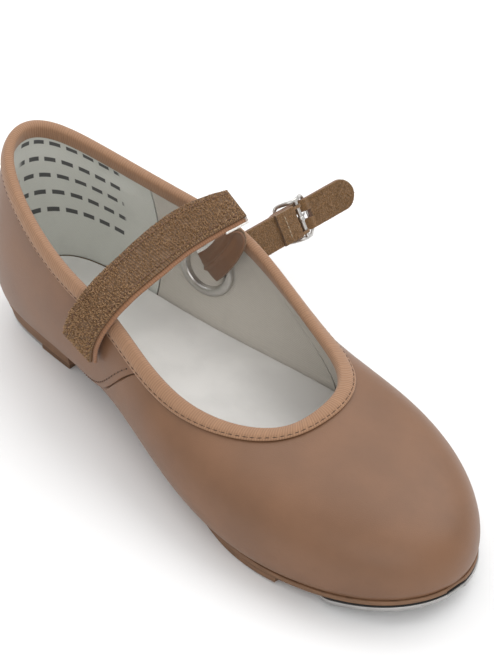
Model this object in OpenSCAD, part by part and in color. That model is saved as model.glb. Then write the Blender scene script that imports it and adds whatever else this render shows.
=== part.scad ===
// Child's strapped tap shoe, left foot.
// +X points to the toe, +Y to the outer side of the foot, +Z up.
// The origin is on the ground under the heel, on the top piece just in front of the heel tap.

/* [Sole] */
// Height of the feather line, where the upper meets the sole, at the heel
heel_rise = 9; // [8:0.5:12]
// Height of the feather line at the ball of the foot
ball_rise = 4.5; // [4.4:0.1:6]
// How far the sole lifts at the toe tip
toe_spring = 8; // [4:0.5:12]
// Thickness of the outsole
outsole_t = 2; // [1.8:0.1:2.2]
// Thickness of the insole board
board_t = 2; // [1.5:0.1:2.5]
// Thickness of the padded sock
sock_t = 1.2; // [0.8:0.1:2]
// Where the heel block ends under the waist
heel_breast_x = 14; // [10:1:20]
// Thickness of the metal tap plates
tap_t = 2; // [1.6:0.1:2.2]

/* [Upper] */
// Thickness of the outer leather
leather_t = 1.2; // [1:0.1:1.4]
// Thickness of the lining
lining_t = 0.8; // [0.6:0.1:1]
// How far the quarters stand proud of the vamp at the lapped seams
lap_rise = 0.5; // [0.4:0.05:0.6]
// Depth of the binding on each face of the top edge
binding_depth = 4.5; // [3.5:0.25:6]

/* [Closure] */
// Width of the band over the instep
band_w = 17; // [15:0.5:18]
// Width of the free strap
strap_w = 12; // [11:0.25:12.5]
// Length of the free strap from its fold to the buckle bar
strap_len = 35; // [32:1:40]
// Length of the billet beyond the buckle bar
billet_len = 27; // [22:1:32]
// Outer diameter of the eyelet
eyelet_d = 23; // [22:0.5:24]
// Bore of the eyelet
eyelet_bore = 15.8; // [15:0.1:16.2]
// Diameter of the buckle bar
bar_d = 1.8; // [1.6:0.1:2]

/* [Hidden] */
$fn = 48;

tan_leather = [0.59, 0.45, 0.36];
tan_web = [0.66, 0.47, 0.35];
tan_loop = [0.5, 0.38, 0.26];
cotton = [0.8, 0.79, 0.76];
board = [0.72, 0.6, 0.45];
steel = [0.75, 0.75, 0.76];
tan_rubber = [0.42, 0.31, 0.24];
black = [0.1, 0.1, 0.1];

gap = 0.1;
toe_line_x = 112;
spring_run = 76;

// Feather line, counter-clockwise from the back of the heel: a closed spline's control points.
feather = [[-30.4, -1], [-28, -15.6], [-9, -19.5], [23, -19.5], [56, -18], [89, -30],
    [118, -40], [149, -36], [175, -25], [188, -5], [182, 16], [161, 31], [131, 40], [98, 39.5],
    [62, 30], [29, 22.5], [-7, 21.5], [-26.5, 15.3]];
// Top edge of the upper, paired with the feather line.
topline = [[-33, 0, 74], [-27, -13, 71], [-6, -22, 63], [21, -27, 54.5], [46, -27, 52],
    [66, -31, 46], [87, -31, 39.5], [106, -23, 37], [118, -12, 38], [120, 1, 41],
    [118, 13, 42], [108, 22, 42], [90, 27, 43.5], [67, 32, 50], [45, 33, 57.5],
    [20, 27, 60.5], [-7, 20, 65.5], [-28, 12, 71.5]];
// How the wall leaves the feather line and reaches the top edge, against the distance along.
low_out = [[-31, 6], [-9, 9], [25, 10.4], [60, 13.5], [89, 9.5], [120, 5], [188, 2.6]];
low_up = [[-31, 17], [25, 12], [75, 7], [120, 9], [150, 15], [188, 25]];
high_out = [[-31, 5], [60, 5], [90, 6], [120, 10], [150, 22], [176, 33], [188, 37]];
high_down = [[-31, 20], [25, 16], [90, 15], [120, 12.5], [150, 10.5], [188, 6.5]];
waist = [[-10, 0], [55, 1], [100, 1], [150, 0]];
forepart = [[30, 0], [90, 1], [150, 1], [188, 0]];
count = len(feather);

function side(i) = i % 9 == 0 ? 0 : i < 9 ? 1 : -1;
rows = [for (i = [0:count - 1])
    let (x = feather[i][0], w = side(i) * lookup(x, waist), f = side(i) * lookup(x, forepart))
    concat(feather[i], topline[i], [lookup(x, low_out) + 4.5 * w, lookup(x, low_up) - 3.5 * w,
        lookup(x, high_out) + 3 * f, lookup(x, high_down) - 3 * f])];

function at(i) = rows[(i + 2 * count) % count];
function spline(u) = let (k = floor(u), t = u - k, m = 1 - t)
    (m * m * m * at(k - 1) + (3 * t * t * t - 6 * t * t + 4) * at(k)
    + (-3 * t * t * t + 3 * t * t + 3 * t + 1) * at(k + 1) + t * t * t * at(k + 2)) / 6;
function slope(u) = let (k = floor(u), t = u - k, m = 1 - t)
    (-m * m * at(k - 1) + (3 * t * t - 4 * t) * at(k)
    + (-3 * t * t + 2 * t + 1) * at(k + 1) + t * t * at(k + 2)) / 2;
function clamp(x) = min(max(x, 0), 1);
function smooth(x) = let (t = clamp(x)) t * t * (3 - 2 * t);
function feather_z(x) = ball_rise + (heel_rise - ball_rise) * smooth((108 - x) / 83)
    + toe_spring * pow(clamp((x - toe_line_x) / spring_run), 2);
function outward(u) = let (d = slope(u)) [d[1], -d[0], 0] / norm([d[0], d[1]]);

// One wall ray: a cubic curve from the feather line up to the top edge.
function ray(u) = let (r = spline(u), o = outward(u), p = [r[0], r[1], feather_z(r[0])],
        q = [r[2], r[3], r[4]])
    [p, p + r[5] * o + [0, 0, r[6]], q + r[7] * o - [0, 0, r[8]], q];
function bez(q, v) = let (m = 1 - v)
    m * m * m * q[0] + 3 * v * m * m * q[1] + 3 * v * v * m * q[2] + v * v * v * q[3];
function rise(q, v) = let (m = 1 - v)
    3 * m * m * (q[1] - q[0]) + 6 * v * m * (q[2] - q[1]) + 3 * v * v * (q[3] - q[2]);
function unit(v) = v / norm(v);
function normal(u, v) = unit(cross(bez(ray(u + 0.02), v) - bez(ray(u - 0.02), v), rise(ray(u), v)));
function wall(u, v, out) = bez(ray(u), v) + out * normal(u, v);
function mix(a, b, t) = a + (b - a) * t;

// Closed sheet between two grids of points; a ring joins its last column to its first.
module shell(outer, inner, ring = false) {
    nu = len(outer);
    nv = len(outer[0]);
    m = nu * nv;
    pts = concat([for (c = outer) each c], [for (c = inner) each c]);
    last = ring ? nu - 1 : nu - 2;
    quads = [for (i = [0:last], j = [0:nv - 2])
        let (a = i * nv + j, b = ((i + 1) % nu) * nv + j) [a, b, b + 1, a + 1]];
    rims = [for (i = [0:last]) let (a = i * nv, b = ((i + 1) % nu) * nv, t = nv - 1)
        each [[a, b, b + m], [a, b + m, a + m],
            [b + t, a + t, a + t + m], [b + t, a + t + m, b + t + m]]];
    e = (nu - 1) * nv;
    ends = ring ? [] : [for (j = [0:nv - 2])
        each [[j + 1, j, j + m], [j + 1, j + m, j + 1 + m],
            [e + j, e + j + 1, e + j + 1 + m], [e + j, e + j + 1 + m, e + j + m]]];
    faces = concat([for (q = quads) each [[q[0], q[3], q[2]], [q[0], q[2], q[1]],
        [q[0] + m, q[2] + m, q[3] + m], [q[0] + m, q[1] + m, q[2] + m]]], rims, ends);
    polyhedron(pts, faces, convexity = 6);
}

// Solid through a row of four-cornered sections.
module loft(loops) {
    n = len(loops);
    pts = [for (l = loops) each l];
    sides = [for (i = [0:n - 2], j = [0:3])
        let (a = 4 * i + (j + 1) % 4, b = 4 * i + j, c = b + 4, d = a + 4)
        each [[a, b, c], [a, c, d]]];
    e = 4 * (n - 1);
    polyhedron(pts, concat(sides, [[0, 1, 2, 3], [e + 3, e + 2, e + 1, e]]), convexity = 4);
}

// One layer of the wall between two stations, which may slant with the height. Its columns are
// even unless a function of their number and the height sets them.
module wall_layer(from, to, low, high, out, inn, n, m, columns = undef) {
    us = columns == undef ? function (i, v) mix(from(v), to(v), i / n) : columns;
    vs = function (j) mix(low, high, j / m);
    shell([for (i = [0:n]) [for (j = [0:m]) let (v = vs(j), u = us(i, v)) wall(u, v, out(u, v))]],
        [for (i = [0:n]) [for (j = [0:m]) let (v = vs(j), u = us(i, v)) wall(u, v, inn(u, v))]]);
}

// Outline of the feather line moved outward, as [x, y] points on one side of the foot. The offset
// is one distance, or a function of the station.
function edge_line(off, first) = [for (k = [0:90]) let (u = first + k / 10, r = spline(u),
    o = outward(u), d = is_num(off) ? off : off(u)) [r[0] + d * o[0], r[1] + d * o[1]]];

// Plate that follows the foot's outline in plan, from x0 to x1, between two height functions. Its
// rear corners may be rounded.
module plate(off, x0, x1, lo, hi, n = 36, corner = 0) {
    med = edge_line(off, 0);
    lat = edge_line(off, 9);
    back = min([for (p = med) p[0]]) + 0.3;
    front = max([for (p = lat) p[0]]) - 0.3;
    a = max(x0, back);
    b = min(x1, front);
    cut = function (x) x - a < corner ? corner - sqrt(pow(corner, 2) - pow(corner - x + a, 2)) : 0;
    loft([for (i = [0:n]) let (x = mix(a, b, (1 - cos(180 * i / n)) / 2),
        y0 = lookup(x, med) + cut(x), y1 = lookup(x, lat) - cut(x))
        [[x, y0, lo(x)], [x, y1, lo(x)], [x, y1, hi(x)], [x, y0, hi(x)]]]);
}

// Heights of the stack under the foot.
far = 400;
board_z = leather_t + 2 * gap;
under = function (x) feather_z(x) - outsole_t;

// Seams, in stations round the foot against the height up the wall.
medial_seam = function (v) 2.95 + 2.3 * v;
lateral_seam = function (v) 15.05 - 2.3 * v;
lap = 0.18;
wall_top = 0.985;
quarter_low = 0.014;

// Leather under a lap is skived to less than half. The vamp has columns just under each seam's edge
// and just past it, and even ones between.
vamp_n = 66;
vamp_m = 12;
skive = [-lap, -lap / 2, 0.005, 0.045];
function vamp_column(i, v) = i < 4 ? medial_seam(v) + skive[i]
    : i > vamp_n - 4 ? lateral_seam(v) - skive[vamp_n - i]
    : mix(medial_seam(v) + skive[3], lateral_seam(v) - skive[3], (i - 3) / (vamp_n - 6));
function vamp_out(u, v) = u < medial_seam(v) + 0.02 || u > lateral_seam(v) - 0.02 ? -0.8 : 0;

module vamp() {
    color(tan_leather) wall_layer(undef, undef, 0, wall_top, function (u, v) vamp_out(u, v),
        function (u, v) -leather_t, vamp_n, vamp_m, function (i, v) vamp_column(i, v));
}

function quarter_in(u, v) = u > medial_seam(v) - lap - 0.05 && u < lateral_seam(v) + lap + 0.05
    ? -0.6 : -leather_t;

module medial_quarter() {
    color(tan_leather)
        wall_layer(function (v) 0.02, function (v) medial_seam(v), quarter_low, wall_top,
            function (u, v) lap_rise, function (u, v) quarter_in(u, v), 28, 9);
}

module lateral_quarter() {
    color(tan_leather) difference() {
        wall_layer(function (v) lateral_seam(v), function (v) 17.98, quarter_low, wall_top,
            function (u, v) lap_rise, function (u, v) quarter_in(u, v), 28, 9);
        eyelet_hole();
    }
}

module back_stay() {
    color(tan_leather)
        wall_layer(function (v) -0.35, function (v) 0.35, 0.02, 0.9,
            function (u, v) lap_rise + 1, function (u, v) lap_rise + gap, 6, 8);
}

inner_face = function (u, v) -leather_t - 2 * gap - lining_t;
lining_face = function (u, v) -leather_t - 2 * gap;

module vamp_lining() {
    color(cotton)
        wall_layer(function (v) 4.9, function (v) 13.1, 0.08, wall_top,
            function (u, v) lining_face(u, v) - puffed(u, v),
            function (u, v) inner_face(u, v) - puffed(u, v), 48, 9);
}

module medial_lining() {
    color(cotton)
        wall_layer(function (v) 3.02, function (v) 4.88, 0.08, wall_top, lining_face, inner_face, 9, 8);
}

module lateral_lining() {
    color(cotton) difference() {
        wall_layer(function (v) 13.12, function (v) 15.38, 0.08, wall_top,
            lining_face, inner_face, 12, 8);
        eyelet_hole();
    }
}

module heel_lining() {
    color(cotton)
        wall_layer(function (v) -2.6, function (v) 3, 0.08, wall_top,
            function (u, v) lining_face(u, v) - stiffener(u, v),
            function (u, v) inner_face(u, v) - stiffener(u, v), 36, 8);
}

// The heel lining stands in by the counter's thickness, and runs out to the wall past it.
counter_t = 0.7;
function stiffener(u, v) = (counter_t + gap) * smooth((2.5 - abs(u)) / 0.35) * smooth((0.86 - v) / 0.12);

module heel_counter() {
    color(board)
        wall_layer(function (v) -2.05, function (v) 2.05, 0.06, 0.74,
            function (u, v) -leather_t - gap, function (u, v) -leather_t - gap - counter_t, 24, 5);
}

// The toe puff shares the vamp's columns and rows, so their faces lie parallel. The lining stands
// in behind it.
puff_t = 0.55;
puff_column = 24;
puff_rows = [1, 4];
function puffed(u, v) = (puff_t + 0.35) * smooth((2.6 - abs(u - 9)) / 0.4) * smooth((0.56 - v) / 0.14);

module toe_puff() {
    color(board) wall_layer(undef, undef, wall_top * puff_rows[0] / vamp_m,
        wall_top * puff_rows[1] / vamp_m, function (u, v) -leather_t - gap,
        function (u, v) -leather_t - gap - puff_t, vamp_n - 2 * puff_column,
        puff_rows[1] - puff_rows[0], function (i, v) vamp_column(i + puff_column, v));
}

// Tape folded over the top edge: down the outside, over the edge, down the inside.
binding_t = 0.5;
function binding_point(u, s, extra) =
    let (edge = wall(u, 1, 0), n = normal(u, 1), drop = 1 - binding_depth / norm(edge - ray(u)[2]) / 3,
        outer_z = lap_rise + gap + extra, inner_z = -leather_t - 2 * gap - lining_t - 0.25 - extra,
        up = unit(rise(ray(u), 1)))
    s == 0 ? wall(u, drop, outer_z)
    : s == 1 ? wall(u, mix(drop, 1, 0.5), outer_z)
    : s == 2 ? edge + outer_z * n + 0.2 * up
    : s == 3 ? edge + (outer_z + inner_z) / 2 * n + (0.9 + extra) * up
    : s == 4 ? edge + inner_z * n + 0.2 * up
    : s == 5 ? wall(u, mix(drop, 1, 0.5), inner_z)
    : wall(u, drop, inner_z);

module topline_binding() {
    color(tan_web)
        shell([for (i = [0:71]) [for (s = [0:6]) binding_point(i / 4, s, binding_t)]],
            [for (i = [0:71]) [for (s = [0:6]) binding_point(i / 4, s, 0)]], true);
}

module insole_board() {
    color(board) plate(-3.2, -far, far, function (x) feather_z(x) + board_z,
        function (x) feather_z(x) + board_z + board_t);
}

// The sock reaches the lining all round. climb() halves its way to the height at which the lining's
// inner face stands z over the feather line.
sock_z = board_z + board_t + gap;
function inside(u, v) = let (w = u > 9 ? u - 18 : u)
    wall(u, v, inner_face(u, v) - 0.3 - stiffener(w, v) - puffed(u, v));
function climb(u, z, lo = 0.05, hi = 0.6, k = 9) = let (m = (lo + hi) / 2)
    k == 0 ? m : inside(u, m)[2] < z ? climb(u, z, m, hi, k - 1) : climb(u, z, lo, m, k - 1);
function sock_off(u) = let (p = ray(u)[0])
    (inside(u, climb(u, p[2] + sock_z)) - p) * outward(u);

module sock_liner() {
    color(cotton) plate(function (u) sock_off(u), -far, far, function (x) feather_z(x) + sock_z,
        function (x) feather_z(x) + sock_z + sock_t);
}

module shank() {
    color(steel) loft([for (i = [0:12]) let (x = 5 + 6.5 * i, z = feather_z(x) + 0.25)
        [[x, -3.5, z], [x, 6.5, z], [x, 6.5, z + 0.8], [x, -3.5, z + 0.8]]]);
}

module bottom_filler() {
    color(board) difference() {
        plate(-12, -far, far, function (x) feather_z(x) + gap,
            function (x) feather_z(x) + board_z - gap);
        translate([4, -4, 0]) cube([80, 11, 20]);
    }
}

module outsole() {
    color(tan_leather) plate(0.2, -far, far, under, function (x) feather_z(x) - gap / 2, 44);
}

patch_gap = 0.05;
module sole_patch() {
    color(tan_leather) plate(0, 88, 139, function (x) under(x) - patch_gap - patch_t,
        function (x) under(x) - patch_gap, 14);
}
patch_t = ball_rise - outsole_t - patch_gap;

heel_inset = -0.8;
heel_top = heel_rise - outsole_t;
module heel_block() {
    color(tan_leather) plate(heel_inset, -far, heel_breast_x, function (x) tap_t + gap,
        function (x) heel_top - gap / 2, 24);
}

heel_tap_front = -2;
module heel_top_piece() {
    color(tan_rubber) plate(heel_inset, heel_tap_front + 0.4, heel_breast_x, function (x) 0,
        function (x) tap_t, 10);
}

heel_screws = [[-22, 0], [-11, -12], [-11, 13]];
screw_r = 1.6;
module heel_tap() {
    color(steel) difference() {
        plate(heel_inset - 0.6, -far, heel_tap_front, function (x) 0, function (x) tap_t, 18);
        for (p = heel_screws) translate([p[0], p[1], -1]) cylinder(r = screw_r + gap, h = 9);
    }
}

module heel_tap_screws() {
    color(steel) for (p = heel_screws) translate([p[0], p[1], 0.3]) cylinder(r = screw_r, h = tap_t - 0.3);
}

// The heel nails follow the outline, outside the filler.
nail_inset = 6.5;
module heel_nails() {
    color(steel) for (u = [0, 1.8, 3, 15, 16.2])
        let (r = spline(u), o = outward(u))
        translate([r[0] - nail_inset * o[0], r[1] - nail_inset * o[1], heel_rise + 0.15])
            cylinder(r = 2, h = 0.9);
}

shim_t = 0.45;
shim_off = 0.1;
tap_off = 0.5;
tap_back = 150;
tap_corner = 10;
shim_top = function (x) under(x) - gap / 2;
tap_top = function (x) under(x) - gap - shim_t;

module toe_tap_shim() {
    color(black) plate(shim_off, tap_back + 0.5, far, function (x) shim_top(x) - shim_t, shim_top, 24,
        tap_corner);
}

toe_screws = [[157, -18], [157, 20], [176, 0]];
module toe_tap() {
    color(steel) difference() {
        plate(tap_off, tap_back, far, function (x) tap_top(x) - tap_t, tap_top, 30, tap_corner);
        for (p = toe_screws) translate([p[0], p[1], -2]) cylinder(r = screw_r + gap, h = 20);
    }
}

module toe_tap_screws() {
    color(steel) for (p = toe_screws)
        translate([p[0], p[1], tap_top(p[0]) - tap_t + 0.3]) cylinder(r = screw_r, h = tap_t - 0.7);
}

// The eyelet sits square to the wall of the lateral quarter.
eye_u = 14.65;
eye_v = 0.52;
eye = wall(eye_u, eye_v, 0);
eye_n = normal(eye_u, eye_v);
module at_eyelet() {
    translate(eye) rotate([0, acos(eye_n[2]), atan2(eye_n[1], eye_n[0])]) children();
}

hole_d = eyelet_bore + 1.6;
module eyelet_hole() {
    at_eyelet() translate([0, 0, -6]) cylinder(d = hole_d, h = 12);
}

flange_z = -leather_t - lining_t - 1.1;
module eyelet() {
    color(steel) at_eyelet() rotate_extrude()
        polygon([[eyelet_bore / 2, flange_z - 1.2], [eyelet_bore / 2 + 0.8, flange_z - 1.6],
            [eyelet_d / 2 - 0.8, flange_z - 1.3], [eyelet_d / 2, flange_z - 0.5],
            [eyelet_d / 2 - 0.3, flange_z], [hole_d / 2 - 0.15, flange_z],
            [hole_d / 2 - 0.15, 2.1], [eyelet_bore / 2, 2.1]]);
}

module eyelet_washer() {
    color(steel) at_eyelet() translate([0, 0, lap_rise + 0.15]) difference() {
        cylinder(d = eyelet_d - 1, h = 1);
        translate([0, 0, -1]) cylinder(d = hole_d, h = 3);
    }
}

// Open spline through a short list of control points, touching the first and the last.
function open_at(p, i) = let (e = len(p) - 1)
    i < 0 ? 2 * p[0] - p[1] : i > e ? 2 * p[e] - p[e - 1] : p[i];
function open_spline(p, s) = let (k = min(floor(s), len(p) - 2), t = s - k, m = 1 - t)
    (m * m * m * open_at(p, k - 1) + (3 * t * t * t - 6 * t * t + 4) * open_at(p, k)
    + (-3 * t * t * t + 3 * t * t + 3 * t + 1) * open_at(p, k + 1) + t * t * t * open_at(p, k + 2)) / 6;

// A strap: its width stays level along X and tips by the route's fourth number, in degrees.
function strap_section(route, s, left, right, lo, hi) =
    let (c = open_spline(route, s), a = open_spline(route, max(s - 0.05, 0)),
        b = open_spline(route, min(s + 0.05, len(route) - 1)), t = unit([for (i = [0:2]) b[i] - a[i]]),
        w0 = unit([1, 0, 0] - t[0] * t), n0 = cross(w0, t), w = w0 * cos(c[3]) + n0 * sin(c[3]),
        n = cross(w, t), p = [c[0], c[1], c[2]])
    [p + right * w + lo * n, p - left * w + lo * n, p - left * w + hi * n, p + right * w + hi * n];

module strap_run(route, s0, s1, left, right, lo, hi, n) {
    loft([for (i = [0:n]) strap_section(route, mix(s0, s1, i / n), left, right, lo, hi)]);
}

band_route = [[40, -34.9, 37, 4], [41.5, -35.4, 45.8, 6], [45, -28.3, 58.6, 2],
    [45, -13, 63, -4], [44.5, 3, 67.5, -12], [46, 17, 69.5, -12], [49.5, 28, 71, 3]];
tail_route = [[46.5, 16, 66.2, -10], [49, 24.5, 66.8, -4], [49.8, 27.6, 60, 0],
    [47, 26.4, 51, -6], [41, 25.5, 42, -12], [35.2, 27, 35, -22], [33.3, 32, 34.2, -42],
    [35, 37, 32.8, -57]];

module band_backing() {
    color(tan_web) strap_run(band_route, 0, 6, band_w / 2, band_w / 2, -1.5, -0.1, 48);
}

module hook_tape() {
    color(tan_loop) strap_run(band_route, 0, 6, band_w / 2 - 0.3, band_w / 2 - 2, 0.05, 1.1, 48);
}

module strap_tail() {
    color(tan_leather) strap_run(tail_route, 0, 6.72, strap_w / 2, strap_w / 2, -0.9, 0.9, 32);
}

// The free strap: X across its width, Y along it, Z out of its loop face.
fold = [35, 38.6, 32.8];
strap_turn = 57;
module at_fold() {
    translate(fold) rotate([0, strap_turn, 0]) children();
}

bar_z = 0.45;
bar_clear = 0.08;
tab_w = 1.6;
tab_x = 4.7;
face_t = 0.8;
frame_half = 6.5;
billet_z = -1.85;
billet_t = 1;

module buckle_strap() {
    r = bar_d / 2 + bar_clear;
    color(tan_leather) at_fold() difference() {
        union() {
            translate([-strap_w / 2, 0.6, -1.1]) cube([strap_w, strap_len - 3, 1.1]);
            for (s = [-1, 1]) translate([s * tab_x - tab_w / 2, 0, 0]) {
                translate([0, strap_len - 2.8, -1.1]) cube([tab_w, 2.8, 1.1]);
                translate([0, strap_len, bar_z]) rotate([0, 90, 0]) cylinder(r = r + 0.9, h = tab_w);
                translate([0, strap_len - 3, 0.9]) cube([tab_w, 3, 1.1]);
            }
            translate([-strap_w / 2, strap_len - 11, 0.9]) cube([strap_w, 8.6, 1.1]);
            translate([-strap_w / 2, strap_len - 11, -0.5]) cube([strap_w, 0.8, 2]);
        }
        translate([-10, strap_len, bar_z]) rotate([0, 90, 0]) cylinder(r = r, h = 20);
    }
}

module strap_loop_face() {
    color(tan_loop) at_fold() translate([-strap_w / 2 + 0.3, 0.6, 0.05])
        cube([strap_w - 0.6, strap_len - 12, face_t]);
}

// Side view of a strap layer that dips under the buckle bar and over the frame's far rail.
function billet_side(top, thick) = [[strap_len - 14, top], [strap_len + 2.5, top],
    [strap_len + 4.5, top + 1.6], [strap_len + billet_len, top + 1.6],
    [strap_len + billet_len, top + 1.6 - thick], [strap_len + 4.5, top + 1.6 - thick],
    [strap_len + 2.5, top - thick], [strap_len - 14, top - thick]];

module billet_plan() {
    w = strap_w - 0.4;
    linear_extrude(height = 20, center = true) difference() {
        union() {
            translate([-w / 2, strap_len - 9]) square([w, billet_len + 9 - w / 2]);
            translate([0, strap_len + billet_len - w / 2]) circle(d = w);
            translate([0, strap_len - 9]) circle(d = w);
        }
        translate([-1.4, strap_len - 2.2]) square([2.8, 8.2]);
    }
}

module billet_layer(top, thick) {
    intersection() {
        rotate([90, 0, 90]) linear_extrude(height = 30, center = true)
            polygon(billet_side(top, thick));
        billet_plan();
    }
}

module billet() {
    color(tan_leather) at_fold() billet_layer(billet_z - face_t, billet_t);
}

module billet_loop_face() {
    color(tan_loop) at_fold() billet_layer(billet_z, face_t - 0.05);
}

rail_w = 1.5;
rail_x = strap_w / 2 + 0.4;
rail_d = 1.4;
near_rail_z = -5;
far_rail_z = -3.5;

module rail_side() {
    linear_extrude(height = rail_w) polygon([[-frame_half - 0.8, near_rail_z - 0.7],
        [-frame_half - 0.8, near_rail_z + 0.7], [-2, bar_z + 0.9], [2, bar_z + 0.9],
        [frame_half + 0.8, far_rail_z + 0.7], [frame_half + 0.8, far_rail_z - 0.7],
        [1.5, bar_z - 1], [-1.5, bar_z - 1]]);
}

module across(y, z, d) {
    translate([-rail_x - 0.2, y, z]) rotate([0, 90, 0]) cylinder(d = d, h = 2 * rail_x + 0.4);
}

module buckle_frame() {
    color(steel) at_fold() translate([0, strap_len, 0]) {
        for (x = [-rail_x - rail_w, rail_x]) translate([x, 0, 0]) rotate([90, 0, 90]) rail_side();
        across(0, bar_z, bar_d);
        across(-frame_half, near_rail_z, rail_d);
        across(frame_half, far_rail_z, rail_d);
    }
}

// The prong lies against the far rail, on the leather side.
prong_t = 1.2;
prong_clear = 0.1;
rail_reach = norm([frame_half, far_rail_z - bar_z]);
prong_drop = atan2(far_rail_z - bar_z, frame_half)
    - asin((rail_d / 2 + prong_t / 2 + prong_clear) / rail_reach);
prong_run = rail_reach + 0.9;
module buckle_prong() {
    color(steel) at_fold() translate([0, strap_len, bar_z]) rotate([prong_drop, 0, 0]) difference() {
        union() {
            translate([-1.2, 0, 0]) rotate([0, 90, 0]) cylinder(d = bar_d + 1.5, h = 2.4);
            translate([-0.8, 0.6, -prong_t / 2]) cube([1.6, prong_run - 0.6, prong_t]);
        }
        translate([-3, 0, 0]) rotate([0, 90, 0]) cylinder(d = bar_d + 0.1, h = 6);
    }
}

vamp();
medial_quarter();
lateral_quarter();
back_stay();
vamp_lining();
medial_lining();
lateral_lining();
heel_lining();
heel_counter();
toe_puff();
topline_binding();
insole_board();
sock_liner();
shank();
bottom_filler();
outsole();
sole_patch();
heel_block();
heel_top_piece();
heel_tap();
heel_tap_screws();
heel_nails();
toe_tap();
toe_tap_shim();
toe_tap_screws();
eyelet();
eyelet_washer();
band_backing();
hook_tape();
strap_tail();
buckle_strap();
strap_loop_face();
billet();
billet_loop_face();
buckle_frame();
buckle_prong();
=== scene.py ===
"""Looks of a child's strapped tap shoe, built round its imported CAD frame.

Every length in this file is in millimetres until a mesh is made, and the frame is the CAD's own:
+X to the toe, +Y to the outer side of the foot, +Z up, origin on the ground under the heel.
"""

import logging
import math
from dataclasses import dataclass, field
from enum import Enum
from typing import Any, Callable

import bpy
import numpy as np
from mathutils import Matrix, Vector


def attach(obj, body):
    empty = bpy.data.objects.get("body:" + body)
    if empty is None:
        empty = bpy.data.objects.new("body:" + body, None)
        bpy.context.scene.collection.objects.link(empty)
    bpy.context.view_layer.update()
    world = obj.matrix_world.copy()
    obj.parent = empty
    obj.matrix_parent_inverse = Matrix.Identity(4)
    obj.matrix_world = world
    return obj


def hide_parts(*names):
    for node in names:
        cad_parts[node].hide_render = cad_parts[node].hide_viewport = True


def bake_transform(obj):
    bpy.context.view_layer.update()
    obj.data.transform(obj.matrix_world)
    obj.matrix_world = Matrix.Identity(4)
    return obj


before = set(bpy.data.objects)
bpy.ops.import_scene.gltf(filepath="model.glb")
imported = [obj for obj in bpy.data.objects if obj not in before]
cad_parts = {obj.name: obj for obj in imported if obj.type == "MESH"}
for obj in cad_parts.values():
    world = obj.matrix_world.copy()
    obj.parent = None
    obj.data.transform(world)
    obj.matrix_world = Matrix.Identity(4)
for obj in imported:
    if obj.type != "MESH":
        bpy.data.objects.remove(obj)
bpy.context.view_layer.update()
LOG = logging.getLogger("tap_shoe")
MM = 0.001
TAU = 2 * math.pi


class Body(Enum):
    """The frame's rigid bodies."""

    SHOE = "shoe"
    STRAP = "strap"
    BUCKLE = "buckle"
    PRONG = "prong"


# ---------------------------------------------------------------- shader maths


class Value:
    """A shader value that takes part in Python arithmetic."""

    def __init__(self, graph: "Graph", socket: bpy.types.NodeSocket) -> None:
        """Keeps the socket and the graph that it belongs to."""
        self.graph = graph
        self.socket = socket

    def _math(self, operation: str, *others: Any) -> "Value":
        """One Math node on this value and up to two others."""
        return self.graph.math(operation, self, *others)

    def __add__(self, other: Any) -> "Value":
        """self + other."""
        return self._math("ADD", other)

    __radd__ = __add__

    def __sub__(self, other: Any) -> "Value":
        """self - other."""
        return self._math("SUBTRACT", other)

    def __rsub__(self, other: Any) -> "Value":
        """other - self."""
        return self.graph.math("SUBTRACT", other, self)

    def __mul__(self, other: Any) -> "Value":
        """self * other."""
        return self._math("MULTIPLY", other)

    __rmul__ = __mul__

    def __truediv__(self, other: Any) -> "Value":
        """self / other."""
        return self._math("DIVIDE", other)

    def sin(self) -> "Value":
        """Sine, of radians."""
        return self._math("SINE")

    def abs(self) -> "Value":
        """Size without sign."""
        return self._math("ABSOLUTE")

    def fract(self) -> "Value":
        """Part after the point."""
        return self._math("FRACT")

    def floor(self) -> "Value":
        """Whole part."""
        return self._math("FLOOR")

    def ramp(self, low: float, high: float) -> "Value":
        """0 below low, 1 above high, a smooth rise between."""
        node = self.graph.node(
            "ShaderNodeMapRange",
            {"interpolation_type": "SMOOTHSTEP"},
            {"Value": self, "From Min": low, "From Max": high},
        )
        return Value(self.graph, node.outputs["Result"])


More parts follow.
